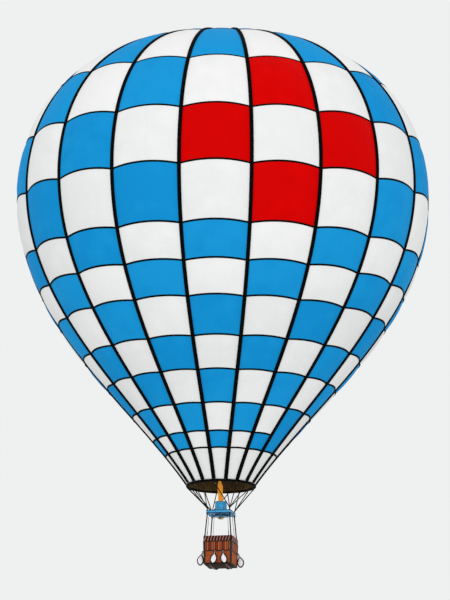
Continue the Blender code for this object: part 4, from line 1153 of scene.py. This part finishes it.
def propaneFlame():
    # burning propane: a bright orange plume that darkens upwards, streaked, lit from within
    flame = bpy.data.materials.new("Propane flame")
    flame.use_nodes = True
    tree, shader = flame.node_tree, flame.node_tree.nodes["Principled BSDF"]
    source = addNode(tree, "ShaderNodeTexCoord")
    parts = addNode(tree, "ShaderNodeSeparateXYZ", None, {"Vector": source.outputs["Object"]})
    span = {"From Min": level(2.5), "From Max": level(burner["flameTop"])}
    share = addNode(tree, "ShaderNodeMapRange", span, {"Value": parts.outputs["Z"]})
    tall = addNode(tree, "ShaderNodeMapping", {"Scale": (1, 1, 0.35)}, {"Vector": source.outputs["Object"]})
    streaks = {"Scale": 16.0, "Detail": 3.0, "Distortion": 0.8}
    licks = addNode(tree, "ShaderNodeTexNoise", streaks, {"Vector": tall.outputs[0]})
    centred = {"operation": "MULTIPLY_ADD", 1: 0.6, 2: -0.3}
    mixed = addNode(tree, "ShaderNodeMath", centred, {0: licks.outputs["Fac"]})
    place = addNode(tree, "ShaderNodeMath", {"operation": "ADD"}, {0: share.outputs[0], 1: mixed.outputs[0]})
    stops = list(zip((0.0, 0.45, 0.8, 1.0), burner["flameTints"]))
    colour = addNode(tree, "ShaderNodeValToRGB", None, {"Fac": place.outputs[0]}, stops)
    tree.links.new(colour.outputs["Color"], shader.inputs["Emission Color"])
    shader.inputs["Base Color"].default_value = (0, 0, 0, 1)
    for socket, value in (("Roughness", 1.0), ("Specular IOR Level", 0.0), ("Emission Strength", 1.0)):
        shader.inputs[socket].default_value = value
    return flame


def makeFlame():                                  # several tapering tongues that sway as they rise
    flame, bottom, count, pieces = propaneFlame(), level(burner["flameFoot"]), 48, []
    for x, y, widest, top, start in burner["tongues"]:
        path, radii = [], []
        for k in range(count + 1):
            share = k / count
            spread = 0.40 + 0.75 * smoothStep(share / 0.9)
            sway = 0.016 * share * math.sin(7.5 * share + start) + 0.006 * math.sin(21 * share + start)
            drift = 0.010 * math.sin(13 * share + start)
            z = bottom + (level(top) - bottom) * share
            path.append(Vector((x * spread + sway - 0.045 * share, y * spread + drift, z)))
            body = (0.54 + 0.36 * smoothStep(share / 0.7)) * smoothStep((1 - share) / 0.22) ** 0.7
            radii.append(max(widest * body * (1 + 0.08 * math.sin(19 * share + start)), 0.003))
        pieces.append(addTube(path, widest, flame, 16, radii=radii))
    finishPiece(joinPieces(pieces), "burner_flame", "burner", smooth=80)
    bpy.ops.object.light_add(type="POINT", location=(0, 0, level(burner["glowHeight"])))
    glow = bpy.context.object                     # the flame's light on the lining
    glow.data.energy, glow.data.shadow_soft_size = burner["glowPower"], 0.12
    glow.data.color = burner["glowColour"]
    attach(glow, "burner")
    print("burner lit")


# uprights and stays
uprights = {
    "foot": 0.529, "head": 0.450, "rimTop": 1.180, "frameBottom": 2.115,
    "sleeve": 0.0235, "quilt": 0.105, "sleeveStart": 0.062, "seam": 0.0022,
    "rimCentre": 0.551, "stayInset": 0.112,
    # distances from a pole's or a stay's end, and the radius of its socket or turnbuckle at each
    "socketPlaces": (0.0005, 0.004, 0.058, 0.066, 0.074), "socketRadii": (0.029, 0.031, 0.031, 0.027, 0.0235),
    "bucklePlaces": (0.050, 0.062, 0.075, 0.165, 0.178, 0.190),
    "buckleRadii": (0.009, 0.012, 0.015, 0.015, 0.012, 0.009),
}


def makeUprights():
    steel, start = finish["steel"], uprights["sleeveStart"]
    low, high = level(uprights["rimTop"]) + 0.0003, level(uprights["frameBottom"]) - 0.0003
    for (sx, sy), name in corners:
        foot = Vector((sx * uprights["foot"], sy * uprights["foot"], low))
        head = Vector((sx * uprights["head"], sy * uprights["head"], high))
        length, along = (head - foot).length, (head - foot).normalized()
        side = along.cross(Vector((0, 0, 1))).normalized()
        front = side.cross(along)
        rings, steps = [], 72
        for k in range(steps + 1):                # a stuffed sleeve, drawn in at each line of cross stitching
            place = start + (length - 2 * start) * k / steps
            swell = abs(math.sin(math.pi * (place - start) / uprights["quilt"])) ** 0.45
            radius = uprights["sleeve"] - 0.004 + 0.0052 * swell
            ring = circlePoints(foot + along * place, side * radius, front * radius, 18)
            ring[0] += side * uprights["seam"]
            rings.append(ring)
        sleeve = skinRings("sleeve", rings, finish["leather"])
        node = f"upright_{name}"
        finishPiece(sleeve, f"padded_sleeve_{name}", "balloon", [node], smooth=50)
        parts = []
        for end, way in ((foot, along), (head, -along)):
            spots = [end + way * d for d in uprights["socketPlaces"]]
            parts.append(addTube(spots, 0.031, steel, 18, radii=uprights["socketRadii"]))
            cross = [end + way * 0.032 + side * d for d in (-0.037, 0.037)]
            parts.append(addTube(cross, 0.0075, steel, 6))
        finishPiece(joinPieces(parts), f"pole_sockets_{name}", "balloon", smooth=45)

        rimCentre, inset = uprights["rimCentre"], uprights["stayInset"]
        stayFoot = Vector((sx * (rimCentre - inset), sy * rimCentre, low))
        stayHead = head + Vector((-sx * 0.080, 0, 0))
        way = (stayHead - stayFoot).normalized()
        spots = [stayFoot + way * d for d in uprights["bucklePlaces"]]
        parts = [
            addTube([stayFoot, stayHead], 0.008, finish["rope"], 8),
            addTube(spots, 0.015, steel, 12, radii=uprights["buckleRadii"]),
            addTube([stayFoot, stayFoot + way * 0.048], 0.012, steel, 10),
            addTube([stayHead - way * 0.060, stayHead], 0.012, steel, 10),
        ]
        joined, node = joinPieces(parts), f"basket_stay_{name}"
        finishPiece(joined, f"stay_cable_{name}", "balloon", [node], smooth=45)
    print("uprights stand")


# basket
basket = {
    "topHalf": 0.575, "baseHalf": 0.550, "skid": 0.040, "wallTop": 0.970, "floorTop": 0.065,
    "rodPitch": 0.0205, "rodRadius": 0.0098, "rodDepth": 0.0175, "weave": 0.0085,
    "weaveLow": 0.078, "weaveHigh": 0.566,
    "stakeSpacing": 0.075, "stakeRadius": 0.0075, "stakeLow": 0.066, "stakeHigh": 0.590,
    "slatWidth": 0.064, "slatSpan": 1.052, "slatLow": 0.586, "slatHigh": 0.950,
    "slatTones": (
        "Rose", "Orange", "Dark", "Rose", "Orange", "Dark",
        "Orange", "Rose", "Dark", "Orange", "Rose", "Orange",
    ),
}
basketLean = (basket["topHalf"] - basket["baseHalf"]) / (basket["wallTop"] - basket["skid"])


def basketHalf(height):
    return basket["baseHalf"] + basketLean * (height - basket["skid"])


def leaningBlock(xLow, xHigh, low, high, outer, inner, material, bevel):
    # an upright board on the front wall, leaning out as the wall does
    board = addBlock((xLow, -inner, level(low)), (xHigh, -outer, level(high)), material, bevel)
    shift = basketLean * level(basket["skid"]) - basket["baseHalf"]
    board.data.transform(Matrix(((1, 0, 0, 0), (0, 1, -basketLean, shift), (0, 0, 1, 0), (0, 0, 0, 1))))
    return board


def weaveRods(willow):                            # weaver rods, passing before and behind the stakes in turn
    rods, step, inset = [], basket["stakeSpacing"], basket["rodDepth"]
    for row in range(round((basket["weaveHigh"] - basket["weaveLow"]) / basket["rodPitch"])):
        height = basket["weaveLow"] + 0.002 + basket["rodPitch"] * row
        reach = basketHalf(height) - 0.020
        count = round(2 * reach / (step / 3))
        path = []
        for k in range(count + 1):
            x = -reach + 2 * reach * k / count
            sway = math.sin(math.pi * x / step + math.pi * (row % 2))
            y = inset - basketHalf(height) + basket["weave"] * sway
            path.append(Vector((x, y, level(height) + 0.0012 * math.sin(5.1 * x + row * 1.7))))
        rods.append(addTube(path, basket["rodRadius"], willow, 6))
    low, high = basket["stakeLow"], basket["stakeHigh"]
    for k in range(-7, 8):                        # the stakes; the last stands close to the corner
        x = (k + 0.5) * step if k < 7 else 0.525
        foot = Vector((x, inset - basketHalf(low), level(low)))
        head = Vector((x, inset - basketHalf(high), level(high)))
        rods.append(addTube([foot, head], basket["stakeRadius"], willow, 6))
    return rods


def makeWalls():
    shade, low, high = finish["shadowWood"], basket["floorTop"] + 0.001, basket["wallTop"] - 0.001
    parts = [leaningBlock(-0.525, 0.525, low, basket["stakeHigh"], -0.020, -0.016, shade, 0.001)]
    parts += weaveRods(finish["willow"])
    parts.append(leaningBlock(-0.535, 0.535, 0.5705, high, -0.030, -0.013, shade, 0.002))
    pitch = (basket["slatSpan"] - basket["slatWidth"]) / (len(basket["slatTones"]) - 1)
    low, high = basket["slatLow"], basket["slatHigh"]
    for k, tone in enumerate(basket["slatTones"]):     # upright slats, split a little unevenly
        x = pitch * k - basket["slatSpan"] / 2
        width = basket["slatWidth"] * (1 + 0.10 * math.sin(4.3 * k))
        face = -0.002 - 0.002 * (k % 2)
        wood = finish["slat" + tone]
        parts.append(leaningBlock(x, x + width, low, high, -0.013, face, wood, 0.004))
    front = joinPieces(parts)
    walls = [front] + [copyPiece(front, turnZ(turns * math.pi / 2)) for turns in (1, 2, 3)]
    for wall, name in zip(walls, ("front", "right", "back", "left")):
        node = f"basket_wall_{name}"
        finishPiece(wall, f"woven_wall_{name}", "balloon", [node], smooth=50)
    print("walls woven")


def copyNode(name, material):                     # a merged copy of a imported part, to be worked finer
    made = bpy.data.objects.new(name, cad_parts[name].data.copy())
    bpy.context.scene.collection.objects.link(made)
    made.data.materials.clear()
    made.data.materials.append(material)
    for face in made.data.polygons:
        face.material_index = 0
    pick(made)
    bpy.ops.object.mode_set(mode="EDIT")
    bpy.ops.mesh.select_all(action="SELECT")
    bpy.ops.mesh.remove_doubles(threshold=0.00005)
    bpy.ops.mesh.dissolve_limited(angle_limit=math.radians(1.5))
    bpy.ops.object.mode_set(mode="OBJECT")
    return made


boltHeads = {
    "profile": ((0.012, 0.0), (0.012, 0.002), (0.008, 0.005), (0.002, 0.006)),
    "x": (-0.33, 0.33), "y": (-0.45, -0.15, 0.15, 0.45), "sunk": 0.0005,
}


def makeFloor():
    floor = softenEdges(copyNode("basket_floor", finish["ply"]), 0.003)
    floor.data.materials.append(finish["pitch"])
    bpy.ops.object.mode_set(mode="EDIT")
    # the faces that look down take the dark underside material: painted shade
    paintFaces(floor, 1, lambda centre, normal: normal.z < -0.5)
    bpy.ops.object.mode_set(mode="OBJECT")
    finishPiece(floor, "basket_floor_board", "balloon", ["basket_floor"], smooth=40)
    for name in ("left", "right"):
        runner = copyNode(f"skid_{name}", finish["ash"])
        bpy.ops.object.mode_set(mode="EDIT")      # the runner's ends are rounded off
        selectFaces(runner, lambda centre, normal: abs(normal.y) > 0.9)
        bpy.ops.mesh.bevel(offset=0.018, segments=3, affect="EDGES")
        bpy.ops.object.mode_set(mode="OBJECT")
        finishPiece(runner, f"runner_{name}", "balloon", [f"skid_{name}"], smooth=40)
    head = addTurned(boltHeads["profile"], finish["steel"], 14)
    z = level(basket["floorTop"]) - boltHeads["sunk"]
    places = [(x, y, z) for x in boltHeads["x"] for y in boltHeads["y"]]
    heads = spreadCopies(head, [Matrix.Translation(place) for place in places])
    finishPiece(joinPieces(heads), "floor_bolts", "balloon", smooth=40)


edgingTrim = {
    "stitchStart": 0.05, "stitchPitch": 0.0225, "stitches": 40, "stitchX": 0.512, "stitchLift": 0.0142,
    "stitchPlaces": (0, 0.004, 0.012, 0.016), "stitchRadii": (0.0012, 0.0022, 0.0022, 0.0012),
    "rivet": ((0.010, 0.0), (0.0095, 0.002), (0.006, 0.0045), (0.002, 0.0055)),
    "rivetHeights": (0.068, 0.30, 0.575, 0.76, 0.950), "rivetInset": 0.016, "rivetLift": 0.0138,
}


def makeEdging():
    edging = softenEdges(copyNode("basket_edging", finish["leather"]), 0.003)
    finishPiece(edging, "leather_edging", "balloon", ["basket_edging"], smooth=40)
    spots = [(0, 0, place) for place in edgingTrim["stitchPlaces"]]
    stitch = addTube(spots, 0.0022, finish["thread"], 6, radii=edgingTrim["stitchRadii"])
    repeat, pitch = stitch.modifiers.new("Row", "ARRAY"), edgingTrim["stitchPitch"]
    repeat.use_relative_offset, repeat.use_constant_offset = False, True
    repeat.constant_offset_displace, repeat.count = (0, -pitch * basketLean, pitch), edgingTrim["stitches"]
    pick(stitch)
    bpy.ops.object.modifier_apply(modifier=repeat.name)
    start, seams, rivets = edgingTrim["stitchStart"], [], []
    for turns in range(4):
        turn = turnZ(turns * math.pi / 2)
        for side in (-1, 1):
            y = -basketHalf(start) - edgingTrim["stitchLift"]
            seams.append(turn @ Matrix.Translation((side * edgingTrim["stitchX"], y, level(start))))
            for height in edgingTrim["rivetHeights"]:
                half = basketHalf(height)
                x, y = side * (half - edgingTrim["rivetInset"]), -half - edgingTrim["rivetLift"]
                rivets.append(turn @ aimMatrix(Vector((x, y, level(height))), forwards))
    finishPiece(joinPieces(spreadCopies(stitch, seams)), "edging_stitches", "balloon", smooth=50)
    dome = addTurned(edgingTrim["rivet"], finish["brass"], 12)
    finishPiece(joinPieces(spreadCopies(dome, rivets)), "edging_rivets", "balloon", smooth=50)
    print("leather edging riveted")


rim = {
    "half": 0.591, "width": 0.080, "low": 0.970, "top": 1.180, "corner": 0.060, "soft": 0.026,
    "perSide": 96, "perCorner": 8, "puff": 0.0055, "drawnIn": 0.003,
    "spacing": 0.1155, "slant": 0.058, "thongWidth": 0.030,
    "thong": ((-0.5, -0.003), (0.5, -0.003), (0.5, 0.0030), (0.25, 0.0050), (-0.25, 0.0050), (-0.5, 0.0030)),
}


def rimStations():                                # centre, outward direction and run, all round the rim
    centreHalf = rim["half"] - rim["width"] / 2
    corner = rim["corner"] * 0.93
    straight, stations, run = centreHalf - corner, [], 0.0
    for quarter in range(4):
        turn = Matrix.Rotation(quarter * math.pi / 2, 3, "Z")
        for k in range(rim["perSide"]):
            x = -straight + 2 * straight * k / rim["perSide"]
            stations.append((turn @ Vector((x, -centreHalf, 0)), turn @ forwards, run + x + straight))
        run += 2 * straight
        for k in range(rim["perCorner"]):
            swept = math.pi / 2 * k / rim["perCorner"]
            outward = roundAxis(1.0, swept, 0)
            centre = Vector((straight, -straight, 0)) + outward * corner
            stations.append((turn @ centre, turn @ outward, run + corner * swept))
        run += corner * math.pi / 2
    return stations, run


def rimSection():                                 # (out, z) round the padded roll, from its outer foot
    half, soft = rim["width"] / 2, rim["soft"]
    low, high = level(rim["low"]) + 0.0004, level(rim["top"]) - 0.001
    points = [(half - 0.003, low), (half, low + 0.012)]
    points += [(half, low + (high - low - soft) * s) for s in (0.25, 0.45, 0.65, 0.85)]
    bends = (0.0, 0.39, 0.79, 1.18, 1.57)
    points += [(half - soft + soft * math.cos(a), high - soft + soft * math.sin(a)) for a in bends]
    points += [(-x, z) for x, z in reversed(points)]
    return points


def rimPlace(stations, around, run):              # centre and outward direction anywhere along the rim
    runs = [station[2] for station in stations]
    k = bisect.bisect_right(runs, run % around) - 1
    centre, outward, start = stations[k]
    after, outwardAfter, end = stations[(k + 1) % len(stations)]
    share = (run % around - start) / ((end if end > start else around) - start)
    return centre.lerp(after, share), outward.lerp(outwardAfter, share).normalized()


def awayFrom(section, k, middle):                 # the direction off the roll at one point of its section
    out, z = section[k]
    if 0 < k < len(section) - 1:
        before, later = section[k - 1], section[k + 1]
        normal = Vector((later[1] - before[1], before[0] - later[0])).normalized()
    else:
        normal = Vector((1.0 if out > 0 else -1.0, 0.0))
    return -normal if normal.dot(Vector((out, z - middle))) < 0 else normal


def makeRim():
    (stations, around), section = rimStations(), rimSection()
    middle, slant = level((rim["low"] + rim["top"]) / 2), rim["slant"]
    laces = 4 * round(around / 4 / rim["spacing"])
    spacing, rings = around / laces, []
    leans = [(z - middle) / (rim["top"] - rim["low"]) * slant for _, z in section]
    for centre, outward, run in stations:
        ring = []
        for (out, z), lean in zip(section, leans):
            side = 1 if out > 0 else -1
            swell = abs(math.sin(math.pi * (run - lean * side) / spacing)) ** 0.55
            push = rim["puff"] * swell - rim["drawnIn"]
            lift = push if z > level(rim["top"]) - 0.010 else 0.0
            ring.append(centre + outward * out + outward * side * push + Vector((0, 0, z + lift)))
        rings.append(ring)
    roll = skinRings("rim", rings, finish["oxblood"], loop=True)
    finishPiece(roll, "padded_rim", "balloon", ["basket_rim"], smooth=60)

    thongs = []
    for lace in range(laces):
        rings = []
        for k, ((out, z), lean) in enumerate(zip(section, leans)):
            run = lace * spacing + (lean if out > 0 else slant / 2 + (slant / 2 - lean) * 0.6)
            normal, ring = awayFrom(section, k, middle), []
            for across, lift in rim["thong"]:
                centre, outward = rimPlace(stations, around, run + across * rim["thongWidth"])
                ring.append(centre + outward * (out + normal.x * lift) + Vector((0, 0, z + normal.y * lift)))
            rings.append(ring)
        thongs.append(skinRings("thong", rings, finish["thong"]))
    finishPiece(joinPieces(thongs), "rim_lacing", "balloon", smooth=50)
    print("rim laced:", laces)


# sandbags
bag = {
    "height": 0.522, "radius": 0.145, "neckRadius": 0.024, "neckShare": 0.14, "flatness": 0.56,
    "widest": 0.62, "voxel": 0.010, "rings": 40, "pressure": 4.0, "mostSwell": 0.016, "stuffingFrames": 20,
    "ropeRadius": 0.031, "neckRope": 0.011, "tieDrops": (0.036, 0.050), "tieRope": 0.0075, "loopRope": 0.0065,
    "pegHeight": 0.575, "pegDrop": 0.0135, "neckOffset": 0.075, "endBelly": 0.118, "sideBelly": 0.172,
    "sideY": 0.375,
    "endBags": (("left", -0.085, -0.075), ("right", 0.225, 0.090)),     # hand, place along the wall, splay
}


def bagRadius(share):
    if share < bag["neckShare"]:
        return bag["neckRadius"] * (1 + 0.25 * math.sin(math.pi * share / bag["neckShare"]))
    down = (share - bag["neckShare"]) / (1 - bag["neckShare"])
    if down < bag["widest"]:                      # a drop: drawn out above its widest place, round below it
        swell = math.sin(math.pi * down ** 1.45) ** 0.78
    else:
        swell = math.sqrt(max(1 - ((down - bag["widest"]) / (1 - bag["widest"])) ** 2, 0.0))
    return bag["neckRadius"] * (1 - down) + (bag["radius"] - 0.012) * swell


def blowOut(piece):                               # the canvas swells, held at its neck and its seam
    def isHeld(co):
        seam = 0.6 * bagRadius(min(-co.z / bag["height"], 0.99))
        return co.z > -0.070 or abs(co.y) < 0.006 and abs(co.x) > seam

    start = [vertex.co.copy() for vertex in piece.data.vertices]
    pinned = piece.vertex_groups.new(name="neck")
    pinned.add([vertex.index for vertex in piece.data.vertices if isHeld(vertex.co)], 1.0, "REPLACE")
    cloth = piece.modifiers.new("Cloth", "CLOTH")
    cloth.settings.vertex_group_mass = "neck"
    cloth.settings.use_pressure, cloth.settings.uniform_pressure_force = True, bag["pressure"]
    cloth.settings.effector_weights.gravity = 0
    cloth.settings.quality, cloth.settings.mass = 6, 0.3
    cloth.settings.tension_stiffness = cloth.settings.compression_stiffness = 12
    cloth.settings.bending_stiffness = 0.3
    cloth.collision_settings.use_collision = False
    for step in range(bag["stuffingFrames"]):
        bpy.context.scene.frame_set(step + 1)
    pick(piece)
    bpy.ops.object.modifier_apply(modifier=cloth.name)
    for vertex, was in zip(piece.data.vertices, start):
        moved = vertex.co - was
        if moved.length > bag["mostSwell"]:
            vertex.co = was + moved.normalized() * bag["mostSwell"]
    bpy.context.scene.frame_set(1)
    piece.vertex_groups.clear()


def stuffBag():                                   # one bag, its flat side to XZ and its top at the origin
    rings, count = [], bag["rings"]
    for k in range(count + 1):
        share = 0.004 + 0.992 * k / count
        binding = 0.007 + (bag["ropeRadius"] - 0.009) * smoothStep((share - 0.12) / 0.16)
        wide = max(bagRadius(share) - binding, 0.010)
        deep = max(wide * bag["flatness"], 0.009)
        rings.append(circlePoints((0, 0, -share * bag["height"]), (wide, 0, 0), (0, deep, 0), count))
    piece = skinRings("sandbag", rings, finish["canvas"])
    pick(piece)
    evened = piece.modifiers.new("Even", "REMESH")
    evened.mode, evened.voxel_size = "VOXEL", bag["voxel"]
    bpy.ops.object.modifier_apply(modifier=evened.name)
    blowOut(piece)
    for vertex in piece.data.vertices:            # gathers below the tied neck, and the sag of the sand
        share = -vertex.co.z / bag["height"]
        turn = math.atan2(vertex.co.y, vertex.co.x)
        neck = smoothStep(share / 0.10) * (1 - smoothStep((share - 0.14) / 0.40))
        belly = smoothStep((share - 0.3) / 0.2) * (1 - smoothStep((share - 0.85) / 0.1))
        gathers = 0.0045 * math.sin(9 * turn + 0.6) * neck
        folds = 0.0030 * math.sin(26 * share + 3 * math.sin(2 * turn)) * belly
        flat = Vector((vertex.co.x, vertex.co.y, 0))
        if flat.length > 0.004:
            vertex.co += flat.normalized() * (gathers + folds)
    smoother = piece.modifiers.new("Smooth", "SUBSURF")
    smoother.levels = smoother.render_levels = 1
    bpy.ops.object.modifier_apply(modifier=smoother.name)
    return piece


def bagOutline(piece):                            # the seam's line, read off the stuffed bag
    points = [vertex.co for vertex in piece.data.vertices]
    lefts, rights = [], []
    for k in range(26):
        z = -bag["height"] * (0.085 + 0.875 * k / 25)
        near = [point.x for point in points if abs(point.z - z) < 0.008]
        lefts.append(Vector((min(near), 0, z)))
        rights.append(Vector((max(near), 0, z)))
    bottom = min(point.z for point in points)
    foot = [Vector((end.x * 0.55, 0, bottom + 0.003)) for end in (lefts[-1], rights[-1])]
    around = lefts + [foot[0], Vector((0, 0, bottom)), foot[1]] + rights[::-1]
    for _ in range(2):
        evened = [(a + b * 2 + c) / 4 for a, b, c in zip(around[:-2], around[1:-1], around[2:])]
        around = [around[0]] + evened + [around[-1]]
    return around


def ropeSeam(line):                               # the bag's bound seam, thin at the neck
    neck, full = bag["neckRope"], bag["ropeRadius"]
    shares = [smoothStep((-point.z / bag["height"] - 0.12) / 0.18) for point in line]
    radii = [neck + (full - neck) * share for share in shares]
    return addTube(line, full, finish["laidRope"], 10, radii=radii)


def hungPoint(point, foot, outward, splay, wide, belly):
    # where a point of the model bag hangs on its wall
    share = min(max(-point.z / bag["height"], 0.0), 1.0)
    offset = bag["neckOffset"] + (belly - bag["neckOffset"]) * math.sin(math.pi / 2 * min(share / 0.6, 1.0))
    deep = Vector((0, 0, 1)).cross(wide)
    drop = Vector((0, 0, level(bag["pegHeight"]) - bag["pegDrop"] + point.z))
    return foot + outward * offset + splay * share + wide * point.x + deep * point.y + drop


def bagPlaces():                                  # each bag's foot, outward direction, splay, width and belly
    out, places = basketHalf(bag["pegHeight"]), {}
    for turns, end in ((0, "front"), (2, "back")):
        turn = turnZ(turns * math.pi / 2)
        wide = turn @ Vector((1, 0, 0))
        for hand, x, splay in bag["endBags"]:
            foot = turn @ Vector((x, -out, 0))
            places[f"{end}_{hand}"] = (foot, turn @ forwards, wide * splay, wide, bag["endBelly"])
    for side, name in ((-1, "side_left"), (1, "side_right")):
        outward = Vector((side, 0, 0))
        foot = Vector((side * out, side * bag["sideY"], 0))
        places[name] = (foot, outward, Vector(), outward, bag["sideBelly"])
    return places


def hangBags():
    rope, model = finish["laidRope"], stuffBag()
    ties = [ropeSeam(bagOutline(model))]
    for drop in bag["tieDrops"]:                  # two turns of rope close the neck, and a loop hangs it
        tie = circlePoints((0, 0, -drop), (0.030, 0, 0), (0, 0.026, 0), 18)
        ties.append(addTube(tie, bag["tieRope"], rope, 8, closed=True))
    loop = circlePoints((0, 0, 0.012), (0, 0, -0.026), (0.021, 0, 0), 22)
    models = [model, joinPieces(ties), addTube(loop, bag["loopRope"], rope, 8, closed=True)]
    places = bagPlaces()
    for name, place in places.items():
        made = [copyPiece(source, Matrix.Identity(4)) for source in models]
        for piece in made:
            for vertex in piece.data.vertices:
                vertex.co = hungPoint(vertex.co, *place)
        sack, node = made[0], f"sandbag_{name}"
        finishPiece(sack, f"sandbag_canvas_{name}", "balloon", [node], smooth=60)
        finishPiece(joinPieces(made[1:]), f"sandbag_rope_{name}", "balloon", smooth=60)
    for spare in models:
        bpy.data.objects.remove(spare)
    print("sandbags hung:", len(places))


# fuel cylinders
cylinder = {
    "radius": 0.140, "height": 0.700, "centre": 0.355, "weld": 0.27, "bands": (0.20, 0.46),
    "places": ((-1, "front_left", 135), (1, "back_right", -45)),       # side, name, turn in degrees
}


def cylinderShell(bottom, top):                   # foot ring, wall with its weld, shoulder and neck
    r, weld = cylinder["radius"], bottom + cylinder["weld"]
    return [
        (0.02, bottom + 0.004), (0.095, bottom), (0.118, bottom + 0.004), (0.122, bottom + 0.022),
        (r - 0.010, bottom + 0.034), (r, bottom + 0.060),
        (r, weld - 0.010), (r + 0.002, weld - 0.005), (r + 0.002, weld + 0.005), (r, weld + 0.010),
        (r, top - 0.165), (r - 0.008, top - 0.125), (r - 0.030, top - 0.098), (0.075, top - 0.082),
        (0.030, top - 0.076), (0.030, top - 0.060), (0.010, top - 0.058),
    ]


def makeCylinders():
    alloy, brass, strap, wheel = finish["alloy"], finish["brass"], finish["webbing"], finish["redCap"]
    bottom, r = level(basket["floorTop"]) + 0.0003, cylinder["radius"]
    top = bottom + cylinder["height"]
    collar = (
        (0.083, top - 0.088), (0.086, top - 0.088), (0.088, top - 0.006), (0.086, top),
        (0.082, top), (0.080, top - 0.006),
    )
    parts = [addTurned(cylinderShell(bottom, top), alloy, 48), addTurned(collar, alloy, 40, closed=True)]
    for height in cylinder["bands"]:              # strap and buckle
        z = bottom + height
        band = (
            (r - 0.001, z - 0.022), (r + 0.003, z - 0.022), (r + 0.004, z),
            (r + 0.003, z + 0.022), (r - 0.001, z + 0.022),
        )
        parts.append(addTurned(band, strap, 48, closed=True))
        parts.append(addBlock((-0.026, -r - 0.011, z - 0.027), (0.026, -r - 0.002, z + 0.027), brass, 0.003))
    parts.append(addTube([(0, 0, top - 0.062), (0, 0, top - 0.030)], 0.014, brass, 12))
    parts.append(addTube([(0, 0, top - 0.044), (0.050, 0, top - 0.044)], 0.010, brass, 10))
    z = top - 0.022
    around = circlePoints((0, 0, z), (0.026, 0, 0), (0, 0.026, 0), 20)
    parts.append(addTube(around, 0.0055, wheel, 8, closed=True))
    for x, y in ((0.026, 0), (0, 0.026)):         # the handwheel's spokes
        parts.append(addTube([(-x, -y, z), (x, y, z)], 0.0035, wheel, 6))
    model = joinPieces(parts)
    for sign, name, turn in cylinder["places"]:
        place = Matrix.Translation((sign * cylinder["centre"], sign * cylinder["centre"], 0))
        made, node = copyPiece(model, place @ turnZ(math.radians(turn))), f"fuel_cylinder_{name}"
        finishPiece(made, f"fuel_cylinder_shell_{name}", "balloon", [node], smooth=40)
    bpy.data.objects.remove(model)
    print("fuel cylinders stowed")


# build
setTheView()
sewGores()
sewSeamTapes()
sewLoadTapes()
makeCrownRing()
makeParachute()
makeMouth()
makeRigging()
makeFrame()
makeGimbal()
makeCan()
makeCoil()
makeValves()
makeFlame()
makeUprights()
makeWalls()
makeFloor()
makeEdging()
makeRim()
hangBags()
makeCylinders()
